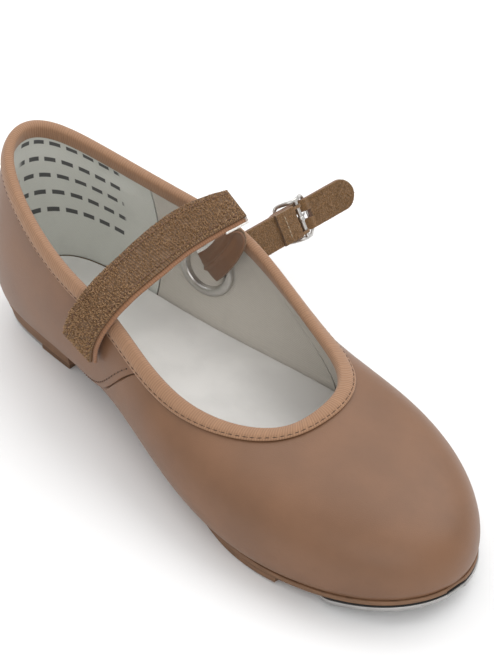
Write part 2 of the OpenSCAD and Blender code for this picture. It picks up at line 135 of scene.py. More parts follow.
class Graph:
    """One material's node tree, with a Principled shader at its end."""

    def __init__(self, name: str) -> None:
        """Starts an empty material called name."""
        self.material = bpy.data.materials.new(name)
        self.material.use_nodes = True
        self.tree = self.material.node_tree
        self.shader = self.tree.nodes["Principled BSDF"]

    def node(self, kind: str, settings: dict | None = None, inputs: dict | None = None) -> bpy.types.Node:
        """Adds a node.

        Args:
            kind: The node's type.
            settings: Its own settings, set before its sockets.
            inputs: Socket name or number to a number, a tuple, a Value or a socket.

        Returns:
            The node.
        """
        made = self.tree.nodes.new(kind)
        for key, setting in (settings or {}).items():
            setattr(made, key, setting)
        for key, given in (inputs or {}).items():
            self.feed(made.inputs[key], given)
        return made

    def feed(self, socket: bpy.types.NodeSocket, given: Any) -> None:
        """Links or sets one socket."""
        if isinstance(given, Value):
            given = given.socket
        if isinstance(given, bpy.types.NodeSocket):
            self.tree.links.new(given, socket)
        else:
            socket.default_value = given

    def math(self, operation: str, *terms: Any) -> Value:
        """One Math node on values or numbers."""
        made = self.node("ShaderNodeMath", {"operation": operation}, dict(enumerate(terms)))
        return Value(self, made.outputs[0])

    def place(self) -> bpy.types.NodeSocket:
        """Object coordinates, in metres."""
        return self.node("ShaderNodeTexCoord").outputs["Object"]

    def axes(self) -> tuple[Value, Value, Value]:
        """Object coordinates as three values, in millimetres."""
        parts = self.node("ShaderNodeSeparateXYZ", None, {0: self.place()})
        return tuple(Value(self, parts.outputs[i]) / MM for i in range(3))

    def cloth(self) -> tuple[Value, Value]:
        """The piece's own map: along it and across it, in millimetres."""
        mapped = self.node("ShaderNodeUVMap", {"uv_map": "UVMap"})
        parts = self.node("ShaderNodeSeparateXYZ", None, {0: mapped.outputs[0]})
        return Value(self, parts.outputs[0]), Value(self, parts.outputs[1])

    def join(self, x: Any, y: Any, z: Any = 0.0) -> bpy.types.NodeSocket:
        """Three values as one vector."""
        return self.node("ShaderNodeCombineXYZ", None, {0: x, 1: y, 2: z}).outputs[0]

    def noise(self, size: float, detail: float = 3.0, at: Any = None, rough: float = 0.5) -> Value:
        """Soft noise whose blotches are about size millimetres across.

        Args:
            size: Blotch size, in millimetres.
            detail: Octaves.
            at: A vector in millimetres, or None for the object's own place.
            rough: Strength of the finer octaves.

        Returns:
            Noise from 0 to 1, about 0.5 on average.
        """
        scale = 1 / size if at is not None else 1 / (size * MM)
        made = self.node(
            "ShaderNodeTexNoise",
            None,
            {"Vector": at if at is not None else self.place(), "Scale": scale, "Detail": detail,
             "Roughness": rough},
        )
        return Value(self, made.outputs["Fac"])

    def cells(self, size: float, at: Any = None) -> Value:
        """Distance to the nearest of scattered points size millimetres apart, in cell widths."""
        scale = 1 / size if at is not None else 1 / (size * MM)
        made = self.node(
            "ShaderNodeTexVoronoi", None, {"Vector": at if at is not None else self.place(), "Scale": scale}
        )
        return Value(self, made.outputs["Distance"])

    def blend(self, low: Any, high: Any, factor: Any) -> bpy.types.NodeSocket:
        """A colour between low at 0 and high at 1."""
        made = self.node("ShaderNodeMix", {"data_type": "RGBA"}, {"Factor": factor})
        sockets = [s for s in made.inputs if s.type == "RGBA"]
        for socket, given in zip(sockets, (low, high)):
            self.feed(socket, (*given, 1.0) if isinstance(given, tuple) else given)
        return next(s for s in made.outputs if s.type == "RGBA")

    def finish(self, colour: Any, rough: Any, height: Value | None = None, depth: float = 0.0,
               **fixed: float) -> bpy.types.Material:
        """Feeds the shader.

        Args:
            colour: Base colour.
            rough: Roughness.
            height: Relief from 0 to 1, or None for a smooth finish.
            depth: How deep the relief is, in millimetres.
            fixed: Other sockets by name, with _ for a space, set to numbers.

        Returns:
            The material.
        """
        self.feed(self.shader.inputs["Base Color"], (*colour, 1.0) if isinstance(colour, tuple) else colour)
        self.feed(self.shader.inputs["Roughness"], rough)
        for name, number in fixed.items():
            self.shader.inputs[name.replace("_", " ")].default_value = number
        if height is not None:
            bump = self.node(
                "ShaderNodeBump", None, {"Height": height, "Strength": 1.0, "Distance": depth * MM}
            )
            self.feed(self.shader.inputs["Normal"], bump.outputs[0])
        return self.material


# ---------------------------------------------------------------- finishes

Colour = tuple[float, float, float]


def shade(colour: Colour, by: float) -> Colour:
    """The colour made darker or lighter by a factor."""
    return tuple(min(1.0, c * by) for c in colour)


@dataclass(frozen=True)
class Finish:
    """A named finish; a subclass says how it is made."""

    name: str
    colour: Colour

    def make(self) -> bpy.types.Material:
        """The finish as a material."""
        raise NotImplementedError


@dataclass(frozen=True)
class Leather(Finish):
    """Smooth coated leather: fine pores, faint mottling, a soft shine and light scuffs low down."""

    grain: float = 0.45
    depth: float = 0.035
    gloss: float = 0.43

    def make(self) -> bpy.types.Material:
        """The finish as a material."""
        g = Graph(self.name)
        _, _, z = g.axes()
        mottle = g.noise(22, 4)
        fine = g.noise(1.6, 3)
        low = 1 - z.ramp(2, 16)
        scuff = g.noise(2.2, 5).ramp(0.58, 0.72) * low * 0.5
        base = g.blend(shade(self.colour, 0.90), shade(self.colour, 1.07), mottle.ramp(0.3, 0.7))
        toned = g.blend(base, shade(self.colour, 0.8), fine.ramp(0.55, 0.8) * 0.16 + scuff * 0.5)
        pores = g.cells(self.grain).ramp(0.0, 0.55)
        relief = pores * 0.55 + g.noise(self.grain * 0.7, 2) * 0.45
        rough = self.gloss + (mottle - 0.5) * 0.1 + fine * 0.04 + scuff * 0.25
        return g.finish(toned, rough, relief, self.depth, Specular_IOR_Level=0.42, Sheen_Weight=0.03)


@dataclass(frozen=True)
class SoleEdge(Finish):
    """Stained sole board: fine layers lie flat in the edge, with darker, rougher patches here and there."""

    def make(self) -> bpy.types.Material:
        """The finish as a material."""
        g = Graph(self.name)
        x, y, z = g.axes()
        layers = g.noise(0.45, 3, at=g.join(x * 0.05, y * 0.05, z))
        worn = g.noise(5, 5)
        base = g.blend(shade(self.colour, 0.78), shade(self.colour, 1.12), layers.ramp(0.35, 0.68))
        toned = g.blend(base, shade(self.colour, 0.62), worn.ramp(0.55, 0.75) * 0.5)
        return g.finish(toned, 0.52 + worn * 0.2, layers * 0.6 + g.noise(0.5, 3) * 0.4, 0.06)


@dataclass(frozen=True)
class Grosgrain(Finish):
    """Ribbed tape: ribs across its length, each one a little different in tone."""

    pitch: float = 0.85
    depth: float = 0.11

    def make(self) -> bpy.types.Material:
        """The finish as a material."""
        g = Graph(self.name)
        along, across = g.cloth()
        rib = (along * (TAU / self.pitch)).sin() * 0.5 + 0.5
        threads = g.noise(0.22, 2, at=g.join(along * 0.5, across))
        tone = g.noise(1.0, 2, at=g.join(along * 1.3, across * 0.06))
        base = g.blend(shade(self.colour, 0.76), shade(self.colour, 1.06), rib * 0.7 + threads * 0.3)
        toned = g.blend(base, shade(self.colour, 1.22), tone.ramp(0.5, 0.75) * 0.45)
        height = rib * 0.8 + threads * 0.2
        return g.finish(toned, 0.72, height, self.depth, Sheen_Weight=0.18, Sheen_Roughness=0.5)


@dataclass(frozen=True)
class Twill(Finish):
    """Cotton twill lining: fine diagonal cords, and soft creases with painted shade on them."""

    cord: float = 0.62
    depth: float = 0.07
    ink: bool = False

    def marks(self, g: Graph, along: Value, across: Value) -> Value:
        """Rows of plain ink bars, with no lettering in them.

        Rows repeat up the wall. Along a row, bars repeat and are shortened by the row's own noise.
        """
        row_pitch, bar_pitch, stagger = 7.2, 6.5, 0.37
        first_row, last_row, first_bar, last_bar = 13, 53, 14, 58
        row = across / row_pitch
        band = 1 - (row.fract() - 0.5).abs().ramp(0.11, 0.14)
        place = along / bar_pitch + row.floor() * stagger
        short = g.noise(1.0, 0, at=g.join(place.floor() * 17, row.floor() * 31)) * 0.3
        inked = 1 - ((place.fract() - 0.5).abs() + short).ramp(0.46, 0.5)
        height = across.ramp(first_row, first_row + 1) * (1 - across.ramp(last_row - 1, last_row))
        width = along.ramp(first_bar, first_bar + 1.5) * (1 - along.ramp(last_bar - 3, last_bar))
        return inked * band * height * width

    def make(self) -> bpy.types.Material:
        """The finish as a material."""
        g = Graph(self.name)
        along, across = g.cloth()
        cords = ((along + across) * (TAU / self.cord)).sin() * 0.5 + 0.5
        weft = ((along - across) * (TAU / (self.cord * 0.6))).sin() * 0.5 + 0.5
        slub = g.noise(0.5, 3, at=g.join(along * 0.4, across))
        crease = g.noise(14, 3)
        base = g.blend(shade(self.colour, 0.82), self.colour, cords * 0.5 + slub * 0.5)
        # Painted shade: the lining is darkened where the crease noise, which also raises the creases, is
        # high.
        toned = g.blend(base, shade(self.colour, 0.74), crease.ramp(0.5, 0.8) * 0.4)
        if self.ink:
            toned = g.blend(toned, (0.022, 0.022, 0.026), self.marks(g, along, across) * 0.9)
        height = cords * 0.5 + weft * 0.15 + slub * 0.25 + crease * 1.6
        return g.finish(toned, 0.88, height, self.depth, Sheen_Weight=0.12)


@dataclass(frozen=True)
class SockCloth(Finish):
    """Smooth coated sock lining: near white, dented softly, a little worn where the ball presses."""

    def make(self) -> bpy.types.Material:
        """The finish as a material."""
        g = Graph(self.name)
        x, _, _ = g.axes()
        soft = g.noise(18, 3)
        fine = g.noise(0.5, 2)
        press = x.ramp(60, 105) * (1 - x.ramp(120, 150))
        base = g.blend(shade(self.colour, 0.9), self.colour, soft.ramp(0.3, 0.7))
        toned = g.blend(base, (0.62, 0.53, 0.47), press * g.noise(16, 4).ramp(0.52, 0.75) * 0.22)
        return g.finish(toned, 0.62, soft * 4 + fine * 0.5, 0.09, Sheen_Weight=0.05)


@dataclass(frozen=True)
class Hooked(Finish):
    """Woven ground of the hook tape: ribs across, dark between, with specks of painted glint."""

    def make(self) -> bpy.types.Material:
        """The finish as a material."""
        g = Graph(self.name)
        along, across = g.cloth()
        rib = (along * (TAU / 1.05)).sin() * 0.5 + 0.5
        speck = g.cells(0.42, at=g.join(along, across))
        mottle = g.noise(3.5, 3)
        base = g.blend(shade(self.colour, 0.38), shade(self.colour, 1.15), rib * 0.65 + mottle * 0.35)
        # Painted glints: spots near the cell centres are lifted to a much brighter tone.
        toned = g.blend(base, shade(self.colour, 1.9), (1 - speck.ramp(0.08, 0.3)) * 0.6)
        return g.finish(toned, 0.6, rib * 0.5 + speck * 0.5, 0.22)


@dataclass(frozen=True)
class Pile(Finish):
    """Brushed loop pile: matted tufts, darker where they are pressed apart."""

    def make(self) -> bpy.types.Material:
        """The finish as a material."""
        g = Graph(self.name)
        tuft = g.noise(0.55, 4, rough=0.7)
        patch = g.noise(4.2, 4)
        base = g.blend(shade(self.colour, 0.55), shade(self.colour, 1.25), tuft.ramp(0.32, 0.7))
        toned = g.blend(base, shade(self.colour, 0.7), patch.ramp(0.48, 0.72) * 0.6)
        return g.finish(toned, 0.93, tuft * 1.2 + patch * 0.8, 0.3, Sheen_Weight=0.25, Sheen_Roughness=0.6)


@dataclass(frozen=True)
class Metal(Finish):
    """Metal with fine tool marks along X and soft smears in its shine."""

    rough: float = 0.16
    marks: float = 0.012

    def make(self) -> bpy.types.Material:
        """The finish as a material."""
        g = Graph(self.name)
        x, y, z = g.axes()
        lines = g.noise(0.5, 3, at=g.join(x * 0.08, y * 2.2, z * 2.2))
        smear = g.noise(6, 4)
        tone = g.blend(shade(self.colour, 0.88), self.colour, smear.ramp(0.3, 0.65))
        rough = self.rough + smear * 0.12 + lines * 0.05
        return g.finish(tone, rough, lines, self.marks, Metallic=1.0)


@dataclass(frozen=True)
class Plain(Finish):
    """Rubber, board, thread or fibre: one colour broken up by fine noise."""

    rough: float = 0.8
    grain: float = 0.5
    depth: float = 0.05

    def make(self) -> bpy.types.Material:
        """The finish as a material."""
        g = Graph(self.name)
        fine = g.noise(self.grain, 4)
        tone = g.blend(shade(self.colour, 0.75), shade(self.colour, 1.15), fine.ramp(0.3, 0.7))
        return g.finish(tone, self.rough + (fine - 0.5) * 0.1, fine, self.depth)


TAN = (0.187, 0.092, 0.047)
WEB = (0.330, 0.178, 0.096)


class Cloakroom:
    """Hands out each finish's material, made once."""

    UPPER = Leather("tan_leather", TAN)
    EDGE = SoleEdge("sole_edge", (0.190, 0.097, 0.048))
    TAPE = Grosgrain("binding_tape", WEB)
    WEBBING = Grosgrain("strap_webbing", (0.27, 0.125, 0.058), pitch=0.95)
    LINING = Twill("cotton_twill", (0.61, 0.575, 0.515))
    STAMPED = Twill("cotton_twill_stamped", (0.67, 0.68, 0.63), ink=True)
    SOCK = SockCloth("sock_cloth", (0.80, 0.79, 0.765))
    HOOK = Hooked("hook_ground", (0.165, 0.085, 0.034))
    PILE = Pile("loop_pile", (0.20, 0.100, 0.030))
    TAP = Metal("tap_metal", (0.46, 0.45, 0.44), rough=0.32)
    BRIGHT = Metal("bright_metal", (0.58, 0.565, 0.54), rough=0.26, marks=0.001)
    STEEL = Metal("screw_steel", (0.5, 0.5, 0.51), rough=0.3)
    RUBBER = Plain("heel_rubber", (0.135, 0.072, 0.038), rough=0.75)
    SHIM = Plain("black_fibre", (0.012, 0.012, 0.012), rough=0.85)
    BOARD = Plain("fibre_board", (0.42, 0.30, 0.19), rough=0.9, grain=1.2)
    THREAD = Plain("tan_thread", (0.17, 0.085, 0.045), rough=0.7, grain=0.25)
    DARK_THREAD = Plain("binding_stitch", (0.085, 0.043, 0.024), rough=0.75, grain=0.25)
    PALE_THREAD = Plain("pale_thread", (0.50, 0.40, 0.28), rough=0.7, grain=0.25)
    # Painted shade: a near-black colour for the shade inside the needle holes.
    HOLE = Plain("needle_hole_shade", (0.035, 0.018, 0.012), rough=0.95)
    NYLON = Plain("hook_nylon", (0.50, 0.31, 0.165), rough=0.34, grain=0.3, depth=0.0)
    FIBRE = Plain("pile_fibre", (0.24, 0.128, 0.042), rough=0.8, grain=0.3)
    FRAY = Plain("white_fray", (0.86, 0.84, 0.80), rough=0.8, grain=0.3)

    _made: dict[str, bpy.types.Material] = {}

    @classmethod
    def fetch(cls, finish: Finish) -> bpy.types.Material:
        """The finish's material, made the first time it is asked for."""
        if finish.name not in cls._made:
            cls._made[finish.name] = finish.make()
        return cls._made[finish.name]


# ---------------------------------------------------------------- mesh helpers


def lerp(a: Any, b: Any, t: Any) -> Any:
    """a at 0, b at 1."""
    return a + (b - a) * t


def run_length(line: np.ndarray) -> np.ndarray:
    """Distance travelled along a line of points, at each of them."""
    return np.concatenate([[0], np.cumsum(np.linalg.norm(np.diff(line, axis=0), axis=1))])


def look_up(where: np.ndarray, travelled: np.ndarray, table: np.ndarray) -> np.ndarray:
    """The table's rows of three, read between its entries at the distances where."""
    return np.stack([np.interp(where, travelled, table[:, k]) for k in range(3)], -1)


def bspline(t: np.ndarray, a: np.ndarray, b: np.ndarray, c: np.ndarray, d: np.ndarray) -> np.ndarray:
    """Uniform cubic B-spline of four control rows, at t from 0 to 1."""
    m = 1 - t
    return (m**3 * a + (3 * t**3 - 6 * t**2 + 4) * b + (-3 * t**3 + 3 * t**2 + 3 * t + 1) * c + t**3 * d) / 6


def unit(v: np.ndarray) -> np.ndarray:
    """The vectors along the last axis, at length one."""
    return v / np.maximum(np.linalg.norm(v, axis=-1, keepdims=True), 1e-12)


def smooth(x: Any) -> Any:
    """0 below 0, 1 above 1, and 3x^2 - 2x^3 between."""
    t = np.clip(x, 0, 1)
    return t * t * (3 - 2 * t)


class Pieces:
    """Turns grids of points into mesh objects and hands them to the frame."""

    @staticmethod
    def mesh(name: str, points: np.ndarray, polygons: list[np.ndarray], corners: np.ndarray | None,
             finish: Finish, sharp: float = 40.0) -> bpy.types.Object:
        """A mesh object from points in millimetres.

        Args:
            name: The piece's name.
            points: N by 3.
            polygons: Arrays of vertex numbers, one row to a polygon.
            corners: UV of every polygon corner in order, or None.
            finish: What it is made of.
            sharp: Edges over this many degrees stay sharp.

        Returns:
            The object.
        """
        counts = np.concatenate([np.full(len(p), p.shape[1]) for p in polygons if len(p)])
        loops = np.concatenate([p.ravel() for p in polygons if len(p)])
        data = bpy.data.meshes.new(name)
        data.vertices.add(len(points))
        data.vertices.foreach_set("co", (points * MM).astype(np.float32).ravel())
        data.loops.add(len(loops))
        data.loops.foreach_set("vertex_index", loops.astype(np.int32))
        data.polygons.add(len(counts))
        starts = np.concatenate([[0], np.cumsum(counts)[:-1]])
        data.polygons.foreach_set("loop_start", starts.astype(np.int32))
        data.polygons.foreach_set("use_smooth", np.ones(len(counts), bool))
        if corners is not None:
            layer = data.uv_layers.new(name="UVMap")
            layer.data.foreach_set("uv", corners.astype(np.float32).ravel())
        data.update(calc_edges=True)
        data.validate()
        data.set_sharp_from_angle(angle=math.radians(sharp))
        made = bpy.data.objects.new(name, data)
        bpy.context.collection.objects.link(made)
        data.materials.append(Cloakroom.fetch(finish))
        return made

    @staticmethod
    def tube(name: str, loops: np.ndarray, finish: Finish, ring: bool = False, strip: bool = False,
             sharp: float = 40.0) -> bpy.types.Object:
        """A closed skin through a row of closed sections.

        Args:
            name: The piece's name.
            loops: Stations by points by 3. Each section turns clockwise as seen from the first end.
            finish: What it is made of.
            ring: The last section joins the first.
            strip: Ends are closed by rungs between a section's two halves, not by one polygon.
            sharp: Edges over this many degrees stay sharp.

        Returns:
            The object, with a UV map in millimetres: along, and round the section.
        """
        n, m = loops.shape[:2]
        last = n if ring else n - 1
        i, j = np.meshgrid(np.arange(last), np.arange(m), indexing="ij")
        ii, jj = (i + 1) % n, (j + 1) % m
        quads = np.stack([i * m + jj, i * m + j, ii * m + j, ii * m + jj], -1).reshape(-1, 4)
        closed = np.concatenate([loops, loops[:1]]) if ring else loops
        step = np.linalg.norm(np.diff(closed, axis=0), axis=2).mean(axis=1)
        along = np.concatenate([[0], np.cumsum(step)])
        girth = np.linalg.norm(np.diff(np.concatenate([loops, loops[:, :1]], 1), axis=1), axis=2).mean(axis=0)
        around = np.concatenate([[0], np.cumsum(girth)])
        uv = np.stack([np.stack([along[i], around[j + 1]], -1), np.stack([along[i], around[j]], -1),
                       np.stack([along[i + 1], around[j]], -1), np.stack([along[i + 1], around[j + 1]], -1)],
                      2).reshape(-1, 2)
        polygons = [quads]
        if not ring:
            if strip:
                h = m // 2
                k = np.arange(h - 1)
                first = np.stack([k, k + 1, m - 2 - k, m - 1 - k], -1)
                ends = [first, (first + (n - 1) * m)[:, ::-1]]
            else:
                ring_of = np.arange(m)[None]
                ends = [ring_of, (ring_of + (n - 1) * m)[:, ::-1]]
            for end, at in zip(ends, (0, n - 1)):
                polygons.append(end)
                local = end.ravel() - at * m
                uv = np.concatenate([uv, np.stack([np.full(len(local), along[at]), around[local]], -1)])
        return Pieces.mesh(name, loops.reshape(-1, 3), polygons, uv, finish, sharp)

    @staticmethod
    def strands(name: str, paths: np.ndarray, radii: np.ndarray, finish: Finish, sides: int = 5
                ) -> bpy.types.Object:
        """Many short threads as one piece.

        Every path is a row of points; a section of that many sides goes round each point, square to
        the path, at the given radius, and both ends are closed.

        Args:
            name: The piece's name.
            paths: Threads by points by 3.
            radii: Points, or threads by points.
            finish: What they are made of.
            sides: Corners of a section.

        Returns:
            The object.
        """
        count, k = paths.shape[:2]
        along = unit(np.gradient(paths, axis=1))
        helper = np.where(np.abs(along[..., 2:3]) < 0.8, [[[0, 0, 1.0]]], [[[1.0, 0, 0]]])
        across = unit(np.cross(along, helper))
        other = np.cross(along, across)
        turn = np.arange(sides) * TAU / sides
        radii = np.broadcast_to(radii, (count, k))[..., None, None]
        points = paths[:, :, None] + radii * (
            np.cos(turn)[:, None] * across[:, :, None] + np.sin(turn)[:, None] * other[:, :, None]
        )
        base = (np.arange(count) * k * sides)[:, None, None]
        i, j = np.arange(k - 1)[None, :, None], np.arange(sides)[None, None, :]
        a, b = base + i * sides + j, base + i * sides + (j + 1) % sides
        quads = np.stack([a, b, b + sides, a + sides], -1).reshape(-1, 4)
        start = (np.arange(count) * k * sides)[:, None] + np.arange(sides)[None]
        caps = [start[:, ::-1], start + (k - 1) * sides]
        return Pieces.mesh(name, points.reshape(-1, 3), [quads, *caps], None, finish, 60)

    @staticmethod
    def joined(name: str, parts: list[bpy.types.Object]) -> bpy.types.Object:
        """The parts as one piece, called name."""
        with bpy.context.temp_override(active_object=parts[0], selected_editable_objects=parts):
            bpy.ops.object.join()
        parts[0].name = name
        return parts[0]

    @staticmethod
    def hand_over(piece: bpy.types.Object, body: Body, *nodes: str) -> bpy.types.Object:
        """Rides the piece on its body and lets it stand for the nodes."""
        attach(piece, body.value)
        if nodes:
            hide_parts(*nodes)
        LOG.info("%s: %d faces on %s", piece.name, len(piece.data.polygons), body.value)
        return piece


def bevelled(piece: bpy.types.Object, width: float, segments: int = 2, angle: float = 40.0
             ) -> bpy.types.Object:
    """Rounds the piece's hard edges to width millimetres."""
    cut = piece.modifiers.new("rounded_edges", "BEVEL")
    cut.width = width * MM
    cut.segments = segments
    cut.limit_method = "ANGLE"
    cut.angle_limit = math.radians(angle)
    return piece


# ---------------------------------------------------------------- the last


class Last:
    """The form of the foot: the wall of the upper as a surface of two numbers.

    u runs round the foot in eighteen stations from the back of the heel by the inner side; v climbs
    from the feather line to the top edge. Both lines are closed splines, and a cubic ray joins them.
    """

    FEATHER = [[-30.4, -1], [-28, -15.6], [-9, -19.5], [23, -19.5], [56, -18], [89, -30],
               [118, -40], [149, -36], [175, -25], [188, -5], [182, 16], [161, 31], [131, 40],
               [98, 39.5], [62, 30], [29, 22.5], [-7, 21.5], [-26.5, 15.3]]
    TOPLINE = [[-33, 0, 74], [-27, -13, 71], [-6, -22, 63], [21, -27, 54.5], [46, -27, 52],
               [66, -31, 46], [87, -31, 39.5], [106, -23, 37], [118, -12, 38], [120, 1, 41],
               [118, 13, 42], [108, 22, 42], [90, 27, 43.5], [67, 32, 50], [45, 33, 57.5],
               [20, 27, 60.5], [-7, 20, 65.5], [-28, 12, 71.5]]
    COUNT = 18
    TOE = COUNT // 2
    HEEL_RISE = 9.0
    BALL_RISE = 4.5
    TOE_SPRING = 8.0

    def __init__(self) -> None:
        """Works out, for each station, how its ray leaves the feather line and meets the top edge."""
        feather = np.array(self.FEATHER, float)
        x = feather[:, 0]
        station = np.arange(self.COUNT)
        side = np.where(station % self.TOE == 0, 0, np.where(station < self.TOE, 1, -1))
        waist = side * np.interp(x, [-10, 55, 100, 150], [0, 1, 1, 0])
        fore = side * np.interp(x, [30, 90, 150, 188], [0, 1, 1, 0])
        low_out = np.interp(x, [-31, -9, 25, 60, 89, 120, 188], [6, 9, 10.4, 13.5, 9.5, 5, 2.6]) + 4.5 * waist
        low_up = np.interp(x, [-31, 25, 75, 120, 150, 188], [17, 12, 7, 9, 15, 25]) - 3.5 * waist
        high_out = np.interp(x, [-31, 60, 90, 120, 150, 176, 188], [5, 5, 6, 10, 22, 33, 37]) + 3 * fore
        high_down = np.interp(x, [-31, 25, 90, 120, 150, 188], [20, 16, 15, 12.5, 10.5, 6.5]) - 3 * fore
        handles = np.stack([low_out, low_up, high_out, high_down], 1)
        self.rows = np.concatenate([feather, np.array(self.TOPLINE, float), handles], 1)

    def _terms(self, u: np.ndarray) -> tuple[np.ndarray, list[np.ndarray]]:
        """The fraction within a span, and the span's four control rows."""
        k = np.floor(u).astype(int)
        return (u - k)[..., None], [self.rows[(k + d) % self.COUNT] for d in (-1, 0, 1, 2)]

    def spline(self, u: np.ndarray) -> np.ndarray:
        """Uniform cubic B-spline of the rows."""
        t, rows = self._terms(u)
        return bspline(t, *rows)

    def outward(self, u: np.ndarray) -> np.ndarray:
        """Level direction away from the foot, square to the feather line."""
        t, (a, b, c, d) = self._terms(u)
        m = 1 - t
        slope = -m * m * a + (3 * t * t - 4 * t) * b + (-3 * t * t + 2 * t + 1) * c + t * t * d
        return unit(np.stack([slope[..., 1], -slope[..., 0], np.zeros(slope.shape[:-1])], -1))

    def feather_z(self, x: np.ndarray) -> np.ndarray:
        """Height of the feather line: level at the heel, down through the waist, up at the toe."""
        return (self.BALL_RISE + (self.HEEL_RISE - self.BALL_RISE) * smooth((108 - x) / 83)
                + self.TOE_SPRING * np.clip((x - 112) / 76, 0, 1) ** 2)

    def ray(self, u: np.ndarray) -> list[np.ndarray]:
        """The four control points of the ray at u."""
        r, o = self.spline(u), self.outward(u)
        p = np.stack([r[..., 0], r[..., 1], self.feather_z(r[..., 0])], -1)
        q = r[..., 2:5]
        up = np.array([0, 0, 1.0])
        return [p, p + r[..., 5:6] * o + r[..., 6:7] * up, q + r[..., 7:8] * o - r[..., 8:9] * up, q]

    @staticmethod
    def along_ray(q: list[np.ndarray], v: np.ndarray) -> np.ndarray:
        """Cubic Bezier point at v."""
        v = v[..., None]
        m = 1 - v
        return m**3 * q[0] + 3 * v * m * m * q[1] + 3 * v * v * m * q[2] + v**3 * q[3]

    def normal(self, u: np.ndarray, v: np.ndarray) -> np.ndarray:
        """Outward unit normal: the wall's run along u crossed with its climb along v."""
        q = self.ray(u)
        w = v[..., None]
        m = 1 - w
        climb = m * m * (q[1] - q[0]) + 2 * w * m * (q[2] - q[1]) + w * w * (q[3] - q[2])
        run = self.along_ray(self.ray(u + 0.02), v) - self.along_ray(self.ray(u - 0.02), v)
        return unit(np.cross(run, climb))

    def wall(self, u: Any, v: Any, out: Any) -> np.ndarray:
        """Point on the wall at u and v, moved out along the normal by out millimetres."""
        u, v, out = np.broadcast_arrays(*(np.asarray(k, float) for k in (u, v, out)))
        return self.along_ray(self.ray(u), v) + out[..., None] * self.normal(u, v)

    def rise(self, u: np.ndarray) -> np.ndarray:
        """Unit direction of the wall at its top edge, upwards."""
        q = self.ray(u)
        return unit(q[3] - q[2])

    def drop(self, u: np.ndarray, depth: float) -> np.ndarray:
        """The v that lies depth millimetres below the top edge."""
        q = self.ray(u)
        return 1 - depth / np.linalg.norm(q[3] - q[2], axis=-1) / 3


LAST = Last()
LEATHER_T = 1.2
LINING_T = 0.8
GAP = 0.1
LINING_FACE = -LEATHER_T - 2 * GAP
LINING_BACK = LINING_FACE - LINING_T
LAP_RISE = 0.5


def ripple(u: np.ndarray, v: np.ndarray, size: float, seed: float) -> np.ndarray:
    """Slow waves in the wall: three products of sines in u and v, at most size millimetres."""
    a = np.sin(3.1 * u + 5.3 * v + seed) * np.sin(1.7 * u - 4.1 * v + 2 * seed)
    b = np.sin(7.3 * u - 9.7 * v + 3 * seed) * np.sin(5.9 * u + 11.3 * v + seed)
    return size * (0.65 * a + 0.35 * b)


@dataclass
class WallLayer:
    """One layer of the upper between two stations, which may slant with the height."""

    name: str
    finish: Finish
    start: Callable[[np.ndarray], np.ndarray]
    stop: Callable[[np.ndarray], np.ndarray]
    low: float
    high: float
    outer: Callable[[np.ndarray, np.ndarray], np.ndarray]
    inner: Callable[[np.ndarray, np.ndarray], np.ndarray]
    across: int = 200
    up: int = 60
    edge: float = 0.25

    def build(self) -> bpy.types.Object:
        """The layer as a closed skin.

        Its sections run up the outer face and down the inner one, so a section is a closed loop, and
        stations are even between start and stop at each height.
        """
        v = np.linspace(self.low, self.high, self.up)[None]
        t = np.linspace(0, 1, self.across)[:, None]
        u = lerp(self.start(v), self.stop(v), t)
        v = np.broadcast_to(v, u.shape)
        outer = LAST.wall(u, v, self.outer(u, v))
        inner = LAST.wall(u, v, self.inner(u, v))
        loops = np.concatenate([outer, inner[:, ::-1]], 1)
        made = Pieces.tube(self.name, loops[:, ::-1], self.finish, strip=True)
        return bevelled(made, self.edge) if self.edge else made


def flat(value: float) -> Callable[[np.ndarray], np.ndarray]:
    """A seam that stands upright at one station."""
    return lambda v: np.full_like(v, value)


def level(value: float, wave: float = 0.0, seed: float = 0.0
          ) -> Callable[[np.ndarray, np.ndarray], np.ndarray]:
    """A face that lies one distance out from the wall, with slow waves if asked."""
    return lambda u, v: np.full_like(u, value) + ripple(u, v, wave, seed)


def stitches(name: str, line: np.ndarray, normals: np.ndarray, pitch: float, finish: Finish,
             length: float = 0.72, width: float = 0.34, lift: float = 0.16) -> bpy.types.Object:
    """A row of lock stitches along a line on a surface.

    The line is cut into equal pitches; each thread spans the given part of its pitch, arches out of
    the surface as a half sine wave, and dives back in at both ends.

    Args:
        name: The piece's name.
        line: Points by 3.
        normals: The surface's normal at each.
        pitch: Distance between needle holes.
        finish: Thread.
        length: Part of each pitch that the thread spans.
        width: Thread width.
        lift: Height of the arch.

    Returns:
        The object.
    """
    travelled = run_length(line)
    count = max(1, int(travelled[-1] / pitch))
    begin = (np.arange(count) + (1 - length) / 2) * travelled[-1] / count
    t = np.linspace(0, 1, 7)
    where = begin[:, None] + t[None] * length * travelled[-1] / count
    path, out = look_up(where, travelled, line), look_up(where, travelled, normals)
    dive = 0.12
    arch = (lift + dive) * np.sin(math.pi * t) ** 0.6 - dive
    radii = width / 2 * (0.55 + 0.45 * np.sin(math.pi * t))
    return Pieces.strands(name, path + out * arch[None, :, None], radii, finish, 6)


def needle_holes(name: str, line: np.ndarray, normals: np.ndarray, pitch: float, size: float = 0.34
                 ) -> bpy.types.Object:
    """Dark dimples of painted shade at the stitches' ends: a short stub square to the surface at each pitch.
    """
    travelled = run_length(line)
    count = max(1, int(travelled[-1] / pitch))
    where = np.arange(count + 1) * travelled[-1] / count
    at, out = look_up(where, travelled, line), unit(look_up(where, travelled, normals))
    depth = np.array([-0.35, 0.035, 0.05])
    paths = at[:, None] + out[:, None] * depth[None, :, None]
    return Pieces.strands(name, paths, np.array([size, size, size * 0.5]), Cloakroom.HOLE, 8)


# ---------------------------------------------------------------- upper


